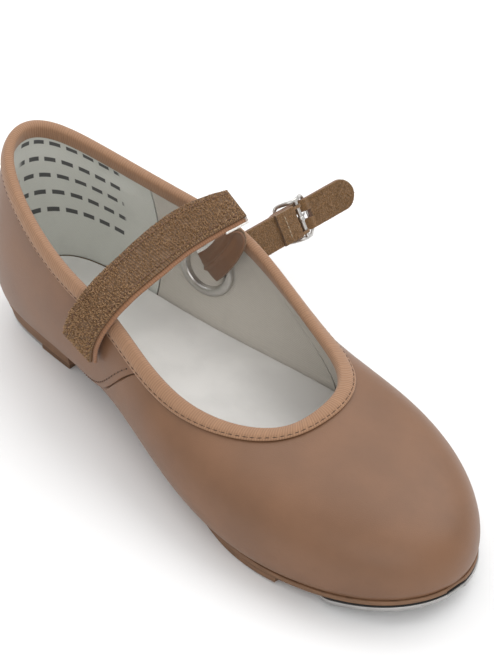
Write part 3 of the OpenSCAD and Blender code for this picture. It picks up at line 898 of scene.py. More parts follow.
@dataclass
class Upper:
    """Vamp, quarters, back stay, linings and the seams between them."""

    lap: float = 0.18
    top: float = 0.985
    quarter_low: float = 0.014
    tuck: float = 0.5
    seam_foot: float = 2.95
    seam_slant: float = 2.3
    seam_pitch: float = 2.4
    stay_rise: float = 0.85

    def medial_seam(self, v: np.ndarray) -> np.ndarray:
        """Station of the inner side's lapped seam at height v."""
        return self.seam_foot + self.seam_slant * v

    def lateral_seam(self, v: np.ndarray) -> np.ndarray:
        """Station of the outer side's lapped seam at height v."""
        return Last.COUNT - self.seam_foot - self.seam_slant * v

    def feathered(self, v: np.ndarray) -> np.ndarray:
        """How far the leather turns in as it goes under the foot: a bell round the feather line."""
        return self.tuck * np.exp(-((v / 0.022) ** 2))

    def vamp_face(self, u: np.ndarray, v: np.ndarray) -> np.ndarray:
        """Outer face of the vamp, skived down to half under the laps."""
        under = np.maximum(smooth((self.medial_seam(v) + 0.03 - u) / 0.03),
                           smooth((u - self.lateral_seam(v) + 0.03) / 0.03))
        return -0.8 * under + ripple(u, v, 0.07, 0.4) - self.feathered(v)

    def quarter_face(self, u: np.ndarray, v: np.ndarray) -> np.ndarray:
        """Outer face of a quarter, proud of the vamp and pressed down along its seam."""
        near = np.minimum(np.abs(u - self.medial_seam(v)), np.abs(u - self.lateral_seam(v)))
        press = 0.16 * np.exp(-((near / 0.03) ** 2)) + 0.1 * np.exp(-(((near - 0.13) / 0.025) ** 2))
        return LAP_RISE - press + ripple(u, v, 0.07, 2.1) - self.feathered(v)

    def quarter_back(self, u: np.ndarray, v: np.ndarray) -> np.ndarray:
        """Inner face of a quarter, thinned over the lap."""
        lapped = smooth((u - self.medial_seam(v) + self.lap + 0.08) / 0.05) * smooth(
            (self.lateral_seam(v) + self.lap + 0.08 - u) / 0.05)
        return -LEATHER_T + (LEATHER_T - 0.6) * lapped

    def stiffener(self, u: np.ndarray, v: np.ndarray) -> np.ndarray:
        """Room that the heel counter takes behind the lining."""
        turned = np.where(u > Last.TOE, u - Last.COUNT, u)
        return 0.8 * smooth((2.5 - np.abs(turned)) / 0.35) * smooth((0.86 - v) / 0.12)

    def puffed(self, u: np.ndarray, v: np.ndarray) -> np.ndarray:
        """Room that the toe puff takes behind the lining."""
        return 0.9 * smooth((2.6 - np.abs(u - Last.TOE)) / 0.4) * smooth((0.56 - v) / 0.14)

    def outside(self) -> None:
        """The leather pieces."""
        vamp = WallLayer("vamp_leather", Cloakroom.UPPER, lambda v: self.medial_seam(v) - self.lap,
                         lambda v: self.lateral_seam(v) + self.lap, 0, self.top, self.vamp_face,
                         level(-LEATHER_T), across=330, up=110, edge=0)
        Pieces.hand_over(vamp.build(), Body.SHOE, "vamp")
        medial = WallLayer("medial_quarter_leather", Cloakroom.UPPER, flat(0.012), self.medial_seam,
                           self.quarter_low, self.top, self.quarter_face, self.quarter_back,
                           across=190, up=90)
        Pieces.hand_over(medial.build(), Body.SHOE, "medial_quarter")
        stay = WallLayer("back_stay_leather", Cloakroom.UPPER, flat(-0.35), flat(0.35), 0.012, 0.9,
                         level(LAP_RISE + self.stay_rise), level(LAP_RISE + 0.05), across=30, up=80, edge=0.3)
        Pieces.hand_over(stay.build(), Body.SHOE, "back_stay")
        lateral = WallLayer("lateral_quarter_leather", Cloakroom.UPPER, self.lateral_seam, flat(17.988),
                            self.quarter_low, self.top, self.quarter_face, self.quarter_back,
                            across=190, up=90)
        made = lateral.build()
        Eyelet.pierce(made)
        Pieces.hand_over(made, Body.SHOE, "lateral_quarter")

    def inside(self) -> None:
        """The lining pieces."""
        def lining(name: str, finish: Finish, start: float, stop: float, seed: float, across: int
                   ) -> bpy.types.Object:
            """One lining piece, a little rumpled."""
            layer = WallLayer(name, finish, flat(start), flat(stop), 0.075, self.top,
                              lambda u, v: LINING_FACE - self.stiffener(u, v) - self.puffed(u, v),
                              lambda u, v: LINING_BACK - self.stiffener(u, v) - self.puffed(u, v)
                              + ripple(u, v, 0.14, seed),
                              across=across, up=70, edge=0.15)
            return layer.build()

        Pieces.hand_over(lining("vamp_lining_cloth", Cloakroom.LINING, 4.89, 13.11, 1.3, 220),
                         Body.SHOE, "vamp_lining")
        Pieces.hand_over(lining("medial_lining_cloth", Cloakroom.LINING, 3.015, 4.875, 0.2, 70),
                         Body.SHOE, "medial_lining")
        lateral = lining("lateral_lining_cloth", Cloakroom.LINING, 13.125, 15.375, 2.9, 90)
        Eyelet.pierce(lateral)
        Pieces.hand_over(lateral, Body.SHOE, "lateral_lining")
        Pieces.hand_over(lining("heel_lining_cloth", Cloakroom.STAMPED, 15.392, 21.0, 4.0, 200),
                         Body.SHOE, "heel_lining")

    def seams(self) -> None:
        """Stitching on the lapped seams and the back stay."""
        v = np.linspace(0.03, 0.86, 60)
        rows = {
            "medial_seam": (self.medial_seam(v) - 0.11, LAP_RISE),
            "lateral_seam": (self.lateral_seam(v) + 0.11, LAP_RISE),
            "stay_seam_left": (np.full_like(v, -0.27) + Last.COUNT, LAP_RISE + self.stay_rise),
            "stay_seam_right": (np.full_like(v, 0.27), LAP_RISE + self.stay_rise),
        }
        for name, (u, out) in rows.items():
            line, normals = LAST.wall(u, v, out - 0.03), LAST.normal(u, v)
            thread = stitches(f"{name}_thread", line, normals, self.seam_pitch, Cloakroom.THREAD)
            Pieces.hand_over(thread, Body.SHOE)
            Pieces.hand_over(needle_holes(f"{name}_holes", line, normals, self.seam_pitch), Body.SHOE)

    def build(self) -> None:
        """Everything above the sole but the binding."""
        self.outside()
        self.inside()
        self.seams()


@dataclass
class Binding:
    """Ribbed tape folded over the top edge, sewn through near its outer rim."""

    depth: float = 4.7
    rim: float = 0.5
    stations: int = 900
    pitch: float = 2.5
    sewn_at: float = 0.2
    girth: float = 400.0

    def face(self, u: np.ndarray, t: np.ndarray) -> np.ndarray:
        """How far the tape's outer leg stands out, t from its rim at 0 to the top edge at 1.

        Low at the rim, pinched at the stitch line, and padded between that and the edge, with a small
        pucker at each stitch.
        """
        pinch = np.exp(-(((t - self.sewn_at) / 0.09) ** 2))
        length = u / Last.COUNT * self.girth
        pucker = 0.07 * np.cos(TAU * length / self.pitch) * pinch
        return LAP_RISE + 0.16 + 0.34 * smooth(t / 0.12) + 0.42 * np.sin(math.pi * np.clip(t, 0, 1)) ** 0.7 \
            - 0.34 * pinch + pucker

    def build(self) -> None:
        """The tape, its thread and its needle holes."""
        u = (np.arange(self.stations) / self.stations * Last.COUNT)[:, None]
        low = LAST.drop(u, self.depth)
        legs = 11
        t = np.linspace(0, 1, legs)[None]
        outer = LAST.wall(u, lerp(low, 1, t), self.face(u, t))
        inside = LINING_BACK - 0.25 - self.rim * (0.5 + 0.5 * np.sin(math.pi * t) ** 0.6)
        inner = LAST.wall(u, lerp(low, 1, t[:, ::-1]), inside)
        roll = np.linspace(0, math.pi, 9)[1:-1]
        edge, n, up = LAST.wall(u, 1, 0), LAST.normal(u, np.ones_like(u)), LAST.rise(u)
        top_out, top_in = self.face(u, np.ones_like(u)), inside[:, :1]
        middle, half = (top_out + top_in) / 2, (top_out - top_in) / 2
        over = (edge + (middle + half * np.cos(roll))[..., None] * n
                + (1.25 * np.sin(roll))[None, :, None] * up)
        hidden = np.concatenate([LAST.wall(u, low, LINING_BACK - 0.03), edge + 0.1 * up,
                                 LAST.wall(u, low, LAP_RISE + 0.03)], 1)
        loops = np.concatenate([outer, over, inner, hidden], 1)
        tape = Pieces.tube("topline_binding_tape", loops[:, ::-1], Cloakroom.TAPE, ring=True, sharp=70)
        Pieces.hand_over(tape, Body.SHOE, "topline_binding")
        s = np.linspace(0, Last.COUNT, 1600)
        v = lerp(LAST.drop(s, self.depth), 1, self.sewn_at)
        line = LAST.wall(s, v, self.face(s, np.full_like(s, self.sewn_at)) - 0.05)
        normals = LAST.normal(s, v)
        thread = stitches("binding_thread", line, normals, self.pitch, Cloakroom.DARK_THREAD, length=0.72)
        Pieces.hand_over(thread, Body.SHOE)
        Pieces.hand_over(needle_holes("binding_needle_holes", line, normals, self.pitch, 0.42), Body.SHOE)


# ---------------------------------------------------------------- plates under the foot


@dataclass
class Plate:
    """A flat part that follows the foot's outline in plan.

    Sections stand across the shoe. Each is a rounded oblong whose corners are drawn at several
    levels; a level has its own inset from the outline and its own height.
    """

    name: str
    finish: Finish
    off: float | Callable[[np.ndarray], np.ndarray]
    lo: Callable[[np.ndarray], np.ndarray]
    hi: Callable[[np.ndarray], np.ndarray]
    start: float = -1000.0
    stop: float = 1000.0
    round_low: float = 0.4
    round_high: float = 0.4
    taper: float = 0.0
    bow_start: float = 0.0
    bow_stop: float = 0.0
    dish: float = 0.0
    corner: float = 0.0
    slices: int = 150
    across: int = 22

    def outline(self, shift: float, first: float) -> np.ndarray:
        """One side of the outline, off plus shift outside the feather line, as x and y."""
        u = first + np.linspace(0, 9, 500)
        off = (self.off(u) if callable(self.off) else np.full_like(u, self.off)) + shift
        r = LAST.spline(u)[:, :2] + off[:, None] * LAST.outward(u)[:, :2]
        return r[np.argsort(r[:, 0])]

    def side(self, inset: float, height: float, s: np.ndarray) -> tuple[np.ndarray, np.ndarray, np.ndarray]:
        """x and the two y of the outline at an inset and a height from 0 to 1, for stations s.

        Rear corners are quarter circles: near the start both sides draw in by corner less the circle.
        """
        shift = -inset - self.taper * (1 - height)
        inner, outer = self.outline(shift, 0), self.outline(shift, 9)
        a = max(self.start + inset, inner[0, 0] + 0.05)
        b = min(self.stop - inset, inner[-1, 0] - 0.05)
        x = lerp(a, b, (1 - np.cos(math.pi * s)) / 2)
        to_go = np.clip(self.corner - (x - a), 0, self.corner)
        cut = self.corner - np.sqrt(self.corner**2 - to_go**2)
        return x, np.interp(x, inner[:, 0], inner[:, 1]) + cut, np.interp(x, outer[:, 0], outer[:, 1]) - cut

    def rings(self) -> np.ndarray:
        """Section loops: the underside, one edge from bottom to top, the top, and the other edge."""
        s = np.linspace(0, 1, self.slices)
        quarter = np.linspace(0, math.pi / 2, 4)
        levels = [(self.round_low * (1 - math.sin(a)), 0, self.round_low * (1 - math.cos(a)))
                  for a in quarter]
        levels += [(self.round_high * (1 - math.cos(a)), 1, -self.round_high * (1 - math.sin(a)))
                   for a in quarter]
        rows = []
        f = np.linspace(0, 1, self.across)

        def row(inset: float, height: int, shift: float, parts: np.ndarray) -> np.ndarray:
            """Points at parts of the way from the inner side to the outer side."""
            x, y0, y1 = self.side(inset, height, s)
            curve = 1 - (2 * parts[None] - 1) ** 2
            xs = (x[:, None] + self.bow_start * curve * (1 - s[:, None]) ** 4
                  + self.bow_stop * curve * s[:, None] ** 4)
            z = np.where(height, self.hi(xs), self.lo(xs)) + shift
            if height:
                z = z + self.dish * np.abs(2 * parts[None] - 1) ** 5
            return np.stack([xs, lerp(y0[:, None], y1[:, None], parts[None]), z], -1)

        rows.append(row(levels[0][0], 0, levels[0][2], f))
        for inset, height, shift in levels[1:-1]:
            rows.append(row(inset, height, shift, np.array([1.0])))
        rows.append(row(levels[-1][0], 1, levels[-1][2], f[::-1]))
        for inset, height, shift in levels[1:-1][::-1]:
            rows.append(row(inset, height, shift, np.array([0.0])))
        return np.concatenate(rows, 1)

    def build(self) -> bpy.types.Object:
        """The plate as a closed skin."""
        return Pieces.tube(self.name, self.rings(), self.finish, sharp=50)


@dataclass
class Bottom:
    """Sock, outsole, patch, heel, taps and their fasteners."""

    outsole_t: float = 2.0
    tap_t: float = 2.0
    shim_t: float = 0.45
    board_top: float = LEATHER_T + 2 * GAP + 2.0
    sock_t: float = 1.2
    heel_front: float = 14.0
    tap_back: float = 150.0
    heel_screws: tuple = ((-22, 0), (-11, -12), (-11, 13))
    toe_screws: tuple = ((157, -18), (157, 20), (176, 0))
    screw_sunk: float = 0.12

    def under(self, x: np.ndarray) -> np.ndarray:
        """Height of the outsole's underside."""
        return LAST.feather_z(x) - self.outsole_t

    def tap_top(self, x: np.ndarray) -> np.ndarray:
        """Height of the toe tap's upper face."""
        return self.under(x) - GAP - self.shim_t

    def sock_edge(self, u: np.ndarray) -> np.ndarray:
        """How far outside the feather line the sock's edge lies.

        It meets the lining, at the v where the lining's inner face stands at the sock's height. That v
        is found by halving.
        """
        upper = Upper()
        goal = LAST.feather_z(LAST.spline(u)[:, 0]) + self.board_top + GAP
        low, high = np.full_like(u, 0.05), np.full_like(u, 0.6)
        for _ in range(12):
            v = (low + high) / 2
            out = LINING_BACK - 0.2 - upper.stiffener(u, v) - upper.puffed(u, v)
            face = LAST.wall(u, v, out)
            under = face[:, 2] < goal
            low, high = np.where(under, v, low), np.where(under, high, v)
        return ((face - LAST.wall(u, 0, 0)) * LAST.outward(u)).sum(-1)

    def plates(self) -> list[tuple[Plate, str]]:
        """Every plate with the node that it stands for."""
        z = LAST.feather_z
        sock_low = self.board_top + GAP
        patch_t = LAST.BALL_RISE - self.outsole_t - 0.05
        return [
            (Plate("sock_cover", Cloakroom.SOCK, self.sock_edge, lambda x: z(x) + sock_low,
                   lambda x: z(x) + sock_low + self.sock_t + 0.15 * np.sin(x / 11), dish=0.5,
                   across=40, slices=170), "sock_liner"),
            (Plate("outsole_leather", Cloakroom.EDGE, 0.2, self.under, lambda x: z(x) - 0.05,
                   round_low=0.5, round_high=0.35, slices=260), "outsole"),
            (Plate("sole_patch_leather", Cloakroom.EDGE, 0.0, lambda x: self.under(x) - 0.05 - patch_t,
                   lambda x: self.under(x) - 0.05, 88, 139, round_low=0.6, round_high=0.1,
                   bow_start=-3, bow_stop=3), "sole_patch"),
            (Plate("heel_block_leather", Cloakroom.EDGE, -0.3, lambda x: 0 * x + self.tap_t + GAP,
                   lambda x: 0 * x + LAST.HEEL_RISE - self.outsole_t - 0.05, stop=self.heel_front,
                   round_low=0.15, round_high=0.15, taper=1.1, bow_stop=-1.2), "heel_block"),
            (Plate("heel_top_piece_rubber", Cloakroom.RUBBER, -1.5, lambda x: 0 * x,
                   lambda x: 0 * x + self.tap_t, -1.6, self.heel_front - 0.3, round_low=0.4,
                   round_high=0.1, bow_stop=-1.2), "heel_top_piece"),
            (Plate("heel_tap_plate", Cloakroom.TAP, -1.9, lambda x: 0 * x, lambda x: 0 * x + self.tap_t,
                   stop=-2.0, round_low=0.5, round_high=0.2), "heel_tap"),
            (Plate("toe_tap_plate", Cloakroom.TAP, 0.5, lambda x: self.tap_top(x) - self.tap_t,
                   self.tap_top, self.tap_back, round_low=0.7, round_high=0.25, slices=200,
                   corner=10), "toe_tap"),
        ]

    def screws(self, name: str, places: tuple, heads: Callable[[float], float], node: str) -> None:
        """Countersunk cross-head screws, heads down.

        A head is a lathe profile of rings; points near two crossed lines are pushed up for the slot.
        """
        radius = np.array([0.0, 0.35, 0.7, 1.05, 1.4, 1.55, 1.6, 1.6])
        rise = np.array([0.0, 0.0, 0.01, 0.04, 0.1, 0.2, 0.4, 1.5])
        turn = np.linspace(0, TAU, 48, endpoint=False)
        parts = []
        for x, y in places:
            a = radius[:, None] * np.cos(turn)
            b = radius[:, None] * np.sin(turn)
            near = np.minimum(np.abs(a + b), np.abs(a - b)) / math.sqrt(2)
            slot = 0.45 * (near < 0.2) * (radius[:, None] < 1.1)
            parts.append(np.stack([x + a, y + b, heads(x) + rise[:, None] + slot], -1))
        pieces = [Pieces.tube(f"{name}_{k}", p, Cloakroom.STEEL, sharp=30) for k, p in enumerate(parts)]
        Pieces.hand_over(Pieces.joined(name, pieces), Body.SHOE, node)

    def build(self) -> None:
        """The plates, then the screws."""
        for plate, node in self.plates():
            made = Pieces.hand_over(plate.build(), Body.SHOE, node)
            node == "sock_liner"
        self.screws("heel_screw_heads", self.heel_screws, lambda x: self.screw_sunk, "heel_tap_screws")
        self.screws("toe_screw_heads", self.toe_screws,
                    lambda x: float(self.tap_top(np.array(x))) - self.tap_t + self.screw_sunk,
                    "toe_tap_screws")


# ---------------------------------------------------------------- eyelet


class Eyelet:
    """Rolled metal ring through the outer quarter, with a washer outside."""

    U = 14.65
    V = 0.52
    BORE = 15.8
    HOLE = BORE + 1.6
    OUTER = 23.0
    FLANGE = -LEATHER_T - LINING_T - 1.1

    @classmethod
    def axes(cls) -> tuple[np.ndarray, np.ndarray, np.ndarray, np.ndarray]:
        """Its centre, two directions across it, and its outward axis."""
        u, v = np.array(cls.U), np.array(cls.V)
        n = LAST.normal(u, v)
        across = unit(np.cross([0, 0, 1.0], n))
        return LAST.wall(u, v, 0), across, np.cross(n, across), n

    @classmethod
    def lathe(cls, name: str, profile: list[tuple[float, float]], finish: Finish) -> bpy.types.Object:
        """A ring: the profile of radius and height turned once round the axis."""
        centre, across, other, n = cls.axes()
        r, h = np.array(profile).T
        turn = np.linspace(0, TAU, 128, endpoint=False)[:, None]
        points = (centre + (r * np.cos(turn))[..., None] * across + (r * np.sin(turn))[..., None] * other
                  + np.broadcast_to(h, (128, len(h)))[..., None] * n)
        return Pieces.tube(name, points, finish, ring=True, sharp=50)

    @classmethod
    def pierce(cls, piece: bpy.types.Object) -> None:
        """Cuts the eyelet's hole through a wall piece."""
        centre, across, other, n = cls.axes()
        turn = np.linspace(0, TAU, 64, endpoint=False)
        ring = cls.HOLE / 2 * (np.cos(turn)[:, None] * across + np.sin(turn)[:, None] * other)
        loops = np.stack([centre + ring + h * n for h in (-9.0, 9.0)])
        cutter = Pieces.tube("eyelet_cutter", loops, Cloakroom.UPPER)
        cut = piece.modifiers.new("eyelet_hole", "BOOLEAN")
        cut.operation = "DIFFERENCE"
        cut.solver = "EXACT"
        cut.object = cutter
        piece.modifiers.move(len(piece.modifiers) - 1, 0)
        with bpy.context.temp_override(object=piece, active_object=piece):
            bpy.ops.object.modifier_apply(modifier=cut.name)
        bpy.data.objects.remove(cutter)

    def build(self) -> None:
        """The ring inside and the washer outside."""
        bore, hole, rim, low = self.BORE / 2, self.HOLE / 2 - 0.15, self.OUTER / 2, self.FLANGE
        a = np.linspace(0, math.pi, 13)
        middle, half = (bore + 0.2 + rim) / 2, (rim - bore - 0.2) / 2
        bead = [(middle + half * math.cos(k), low - 0.25 - 1.35 * math.sin(k) ** 0.8) for k in a[::-1]]
        barrel = [(hole, 1.95), (bore + 0.15, 2.1), (bore, 1.95), (bore, low)]
        ring = barrel + bead + [(rim - 0.3, low), (hole, low)]
        Pieces.hand_over(self.lathe("eyelet_ring", ring, Cloakroom.BRIGHT), Body.SHOE, "eyelet")
        out = LAP_RISE + 0.15
        edge = rim - 0.5
        mid, wide = (hole + 0.15 + edge) / 2, (edge - hole - 0.15) / 2
        crown = [(mid + wide * math.cos(k), out + 0.15 + 0.85 * math.sin(k) ** 0.7) for k in a]
        washer = [(edge, out)] + crown + [(hole + 0.15, out)]
        ring_outside = self.lathe("eyelet_washer_ring", washer, Cloakroom.BRIGHT)
        Pieces.hand_over(ring_outside, Body.SHOE, "eyelet_washer")


# ---------------------------------------------------------------- straps


class Ribbon:
    """A strap's route: an open spline of x, y, z and tilt through a short list of control points."""

    def __init__(self, route: list[list[float]]) -> None:
        """Tabulates the route's centre, width direction and normal against its length."""
        p = np.array(route, float)
        p = np.concatenate([2 * p[:1] - p[1:2], p, 2 * p[-1:] - p[-2:-1]])
        s = np.linspace(0, len(route) - 1, 800)
        k = np.minimum(s.astype(int), len(route) - 2)
        c = bspline((s - k)[:, None], p[k], p[k + 1], p[k + 2], p[k + 3])
        centre, tilt = c[:, :3], np.radians(c[:, 3:])
        along = unit(np.gradient(centre, axis=0))
        level_w = unit(np.array([1.0, 0, 0]) - along[:, :1] * along)
        level_n = np.cross(level_w, along)
        self.centre = centre
        self.width = level_w * np.cos(tilt) + level_n * np.sin(tilt)
        self.normal = np.cross(self.width, along)
        self.travel = run_length(centre)
        self.length = float(self.travel[-1])
        self.spans = s

    def distance(self, span: float) -> float:
        """Distance along the route at a number of spans from its start."""
        return float(np.interp(span, self.spans, self.travel))

    def _look(self, table: np.ndarray, d: np.ndarray) -> np.ndarray:
        """A table's rows at distances d along the route."""
        return look_up(d, self.travel, table)

    def at(self, d: Any, a: Any, h: Any) -> np.ndarray:
        """Point at distance d along, a across and h out of the strap."""
        d, a, h = np.broadcast_arrays(*(np.asarray(k, float) for k in (d, a, h)))
        return (self._look(self.centre, d) + a[..., None] * self._look(self.width, d)
                + h[..., None] * self._look(self.normal, d))

    def facing(self, d: np.ndarray) -> np.ndarray:
        """The strap's normal at distances d."""
        return unit(self._look(self.normal, d))


TAIL_SPANS = 6.72


class Straight:
    """The free strap's own frame: across, along from the fold, and out of the loop face."""

    FOLD = np.array([35.0, 38.6, 32.8])
    TURN = math.radians(57)
    ACROSS = np.array([math.cos(TURN), 0.0, -math.sin(TURN)])
    ALONG = np.array([0.0, 1.0, 0.0])
    OUT = np.array([math.sin(TURN), 0.0, math.cos(TURN)])

    def at(self, d: Any, a: Any, h: Any) -> np.ndarray:
        """Point at distance d along, a across and h out."""
        d, a, h = np.broadcast_arrays(*(np.asarray(k, float) for k in (d, a, h)))
        return self.FOLD + d[..., None] * self.ALONG + a[..., None] * self.ACROSS + h[..., None] * self.OUT

    def facing(self, d: np.ndarray) -> np.ndarray:
        """The loop face's normal."""
        return np.broadcast_to(self.OUT, (*np.shape(d), 3))


def oblong(half_left: np.ndarray, half_right: np.ndarray, low: np.ndarray, high: np.ndarray,
           corner: float, across: int = 12) -> tuple[np.ndarray, np.ndarray]:
    """Corner-rounded oblong sections.

    Runs along the bottom from the right side to the left, up, back along the top and down, with each
    corner a quarter circle of three points.

    Args:
        half_left: Reach to the left, one for each station.
        half_right: Reach to the right.
        low: Bottom height.
        high: Top height.
        corner: Corner radius.
        across: Points along the top and along the bottom.

    Returns:
        Across and out coordinates, stations by points.
    """
    left, right, lo, hi = (np.asarray(k, float)[:, None] for k in (half_left, half_right, low, high))
    c = np.minimum(corner, (hi - lo) * 0.49)
    f = np.linspace(0, 1, across)[None]
    q = np.linspace(0, math.pi / 2, 4)[None, 1:-1]
    bottom = lerp(right - c, -left + c, f)
    top = lerp(-left + c, right - c, f)
    a = np.concatenate([bottom, -left + c - c * np.sin(q), -left + 0 * c, -left + 0 * c,
                        -left + c - c * np.cos(q), top, right - c + c * np.sin(q), right + 0 * c,
                        right + 0 * c, right - c + c * np.cos(q)], 1)
    h = np.concatenate([lo + 0 * bottom, lo + c - c * np.cos(q), lo + c, hi - c, hi - c + c * np.sin(q),
                        hi + 0 * top, hi - c + c * np.cos(q), hi - c, lo + c, lo + c - c * np.sin(q)], 1)
    return a, h


def strap_piece(name: str, route: Any, d: np.ndarray, left: Any, right: Any, low: Any, high: Any,
                finish: Finish, corner: float = 0.3, across: int = 12,
                bend: Callable[[np.ndarray, np.ndarray], np.ndarray] | None = None) -> bpy.types.Object:
    """A strap layer along a route.

    Args:
        name: The piece's name.
        route: A Ribbon or a Straight.
        d: Stations along the route.
        left: Reach to the left, a number or one for each station.
        right: Reach to the right.
        low: Height of its lower face.
        high: Height of its upper face.
        finish: What it is made of.
        corner: Radius of its long edges.
        across: Points over its width.
        bend: Extra height as a function of station and place across.

    Returns:
        The object.
    """
    ones = np.ones_like(d)
    a, h = oblong(left * ones, right * ones, low * ones, high * ones, corner, across)
    if bend is not None:
        h = h + bend(d[:, None], a)
    return Pieces.tube(name, route.at(d[:, None], a, h), finish, sharp=60)


def fuzz(name: str, route: Any, area: tuple[float, float, float, float], height: Any, count: int,
         finish: Finish, seed: int, size: float = 0.55, thick: float = 0.045,
         keep: Callable[[np.ndarray, np.ndarray], np.ndarray] | None = None) -> bpy.types.Object:
    """Small curled threads scattered on a strap.

    A thread leaves the surface, arches by a random angle and comes back: four points on a tilted
    half ellipse. Places are drawn evenly over the area.

    Args:
        name: The piece's name.
        route: A Ribbon or a Straight.
        area: First and last distance along, least and most across.
        height: The surface's height, a number or a function of along and across.
        count: How many threads.
        finish: What they are made of.
        seed: Seed of the random draws.
        size: Height of a curl.
        thick: Radius of a thread.
        keep: Chance of keeping a thread at a place, or None for all.

    Returns:
        The object.
    """
    draw = np.random.default_rng(seed)
    d = draw.uniform(area[0], area[1], count)
    a = draw.uniform(area[2], area[3], count)
    if keep is not None:
        kept = draw.uniform(0, 1, count) < keep(d, a)
        d, a = d[kept], a[kept]
    turn = draw.uniform(0, TAU, len(d))
    tall = size * draw.uniform(0.6, 1.25, len(d))
    wide = size * draw.uniform(0.35, 0.8, len(d))
    t = np.linspace(0, math.pi * 0.92, 5)[None]
    run = (1 - np.cos(t)) * wide[:, None] / 2
    base = height(d, a) if callable(height) else height
    h = np.reshape(base, (-1, 1)) * np.ones_like(run) + np.sin(t) * tall[:, None] - 0.05
    paths = route.at(d[:, None] + run * np.cos(turn)[:, None], a[:, None] + run * np.sin(turn)[:, None], h)
    return Pieces.strands(name, paths, np.array([1.2, 1, 1, 0.9, 0.6]) * thick, finish, 3)


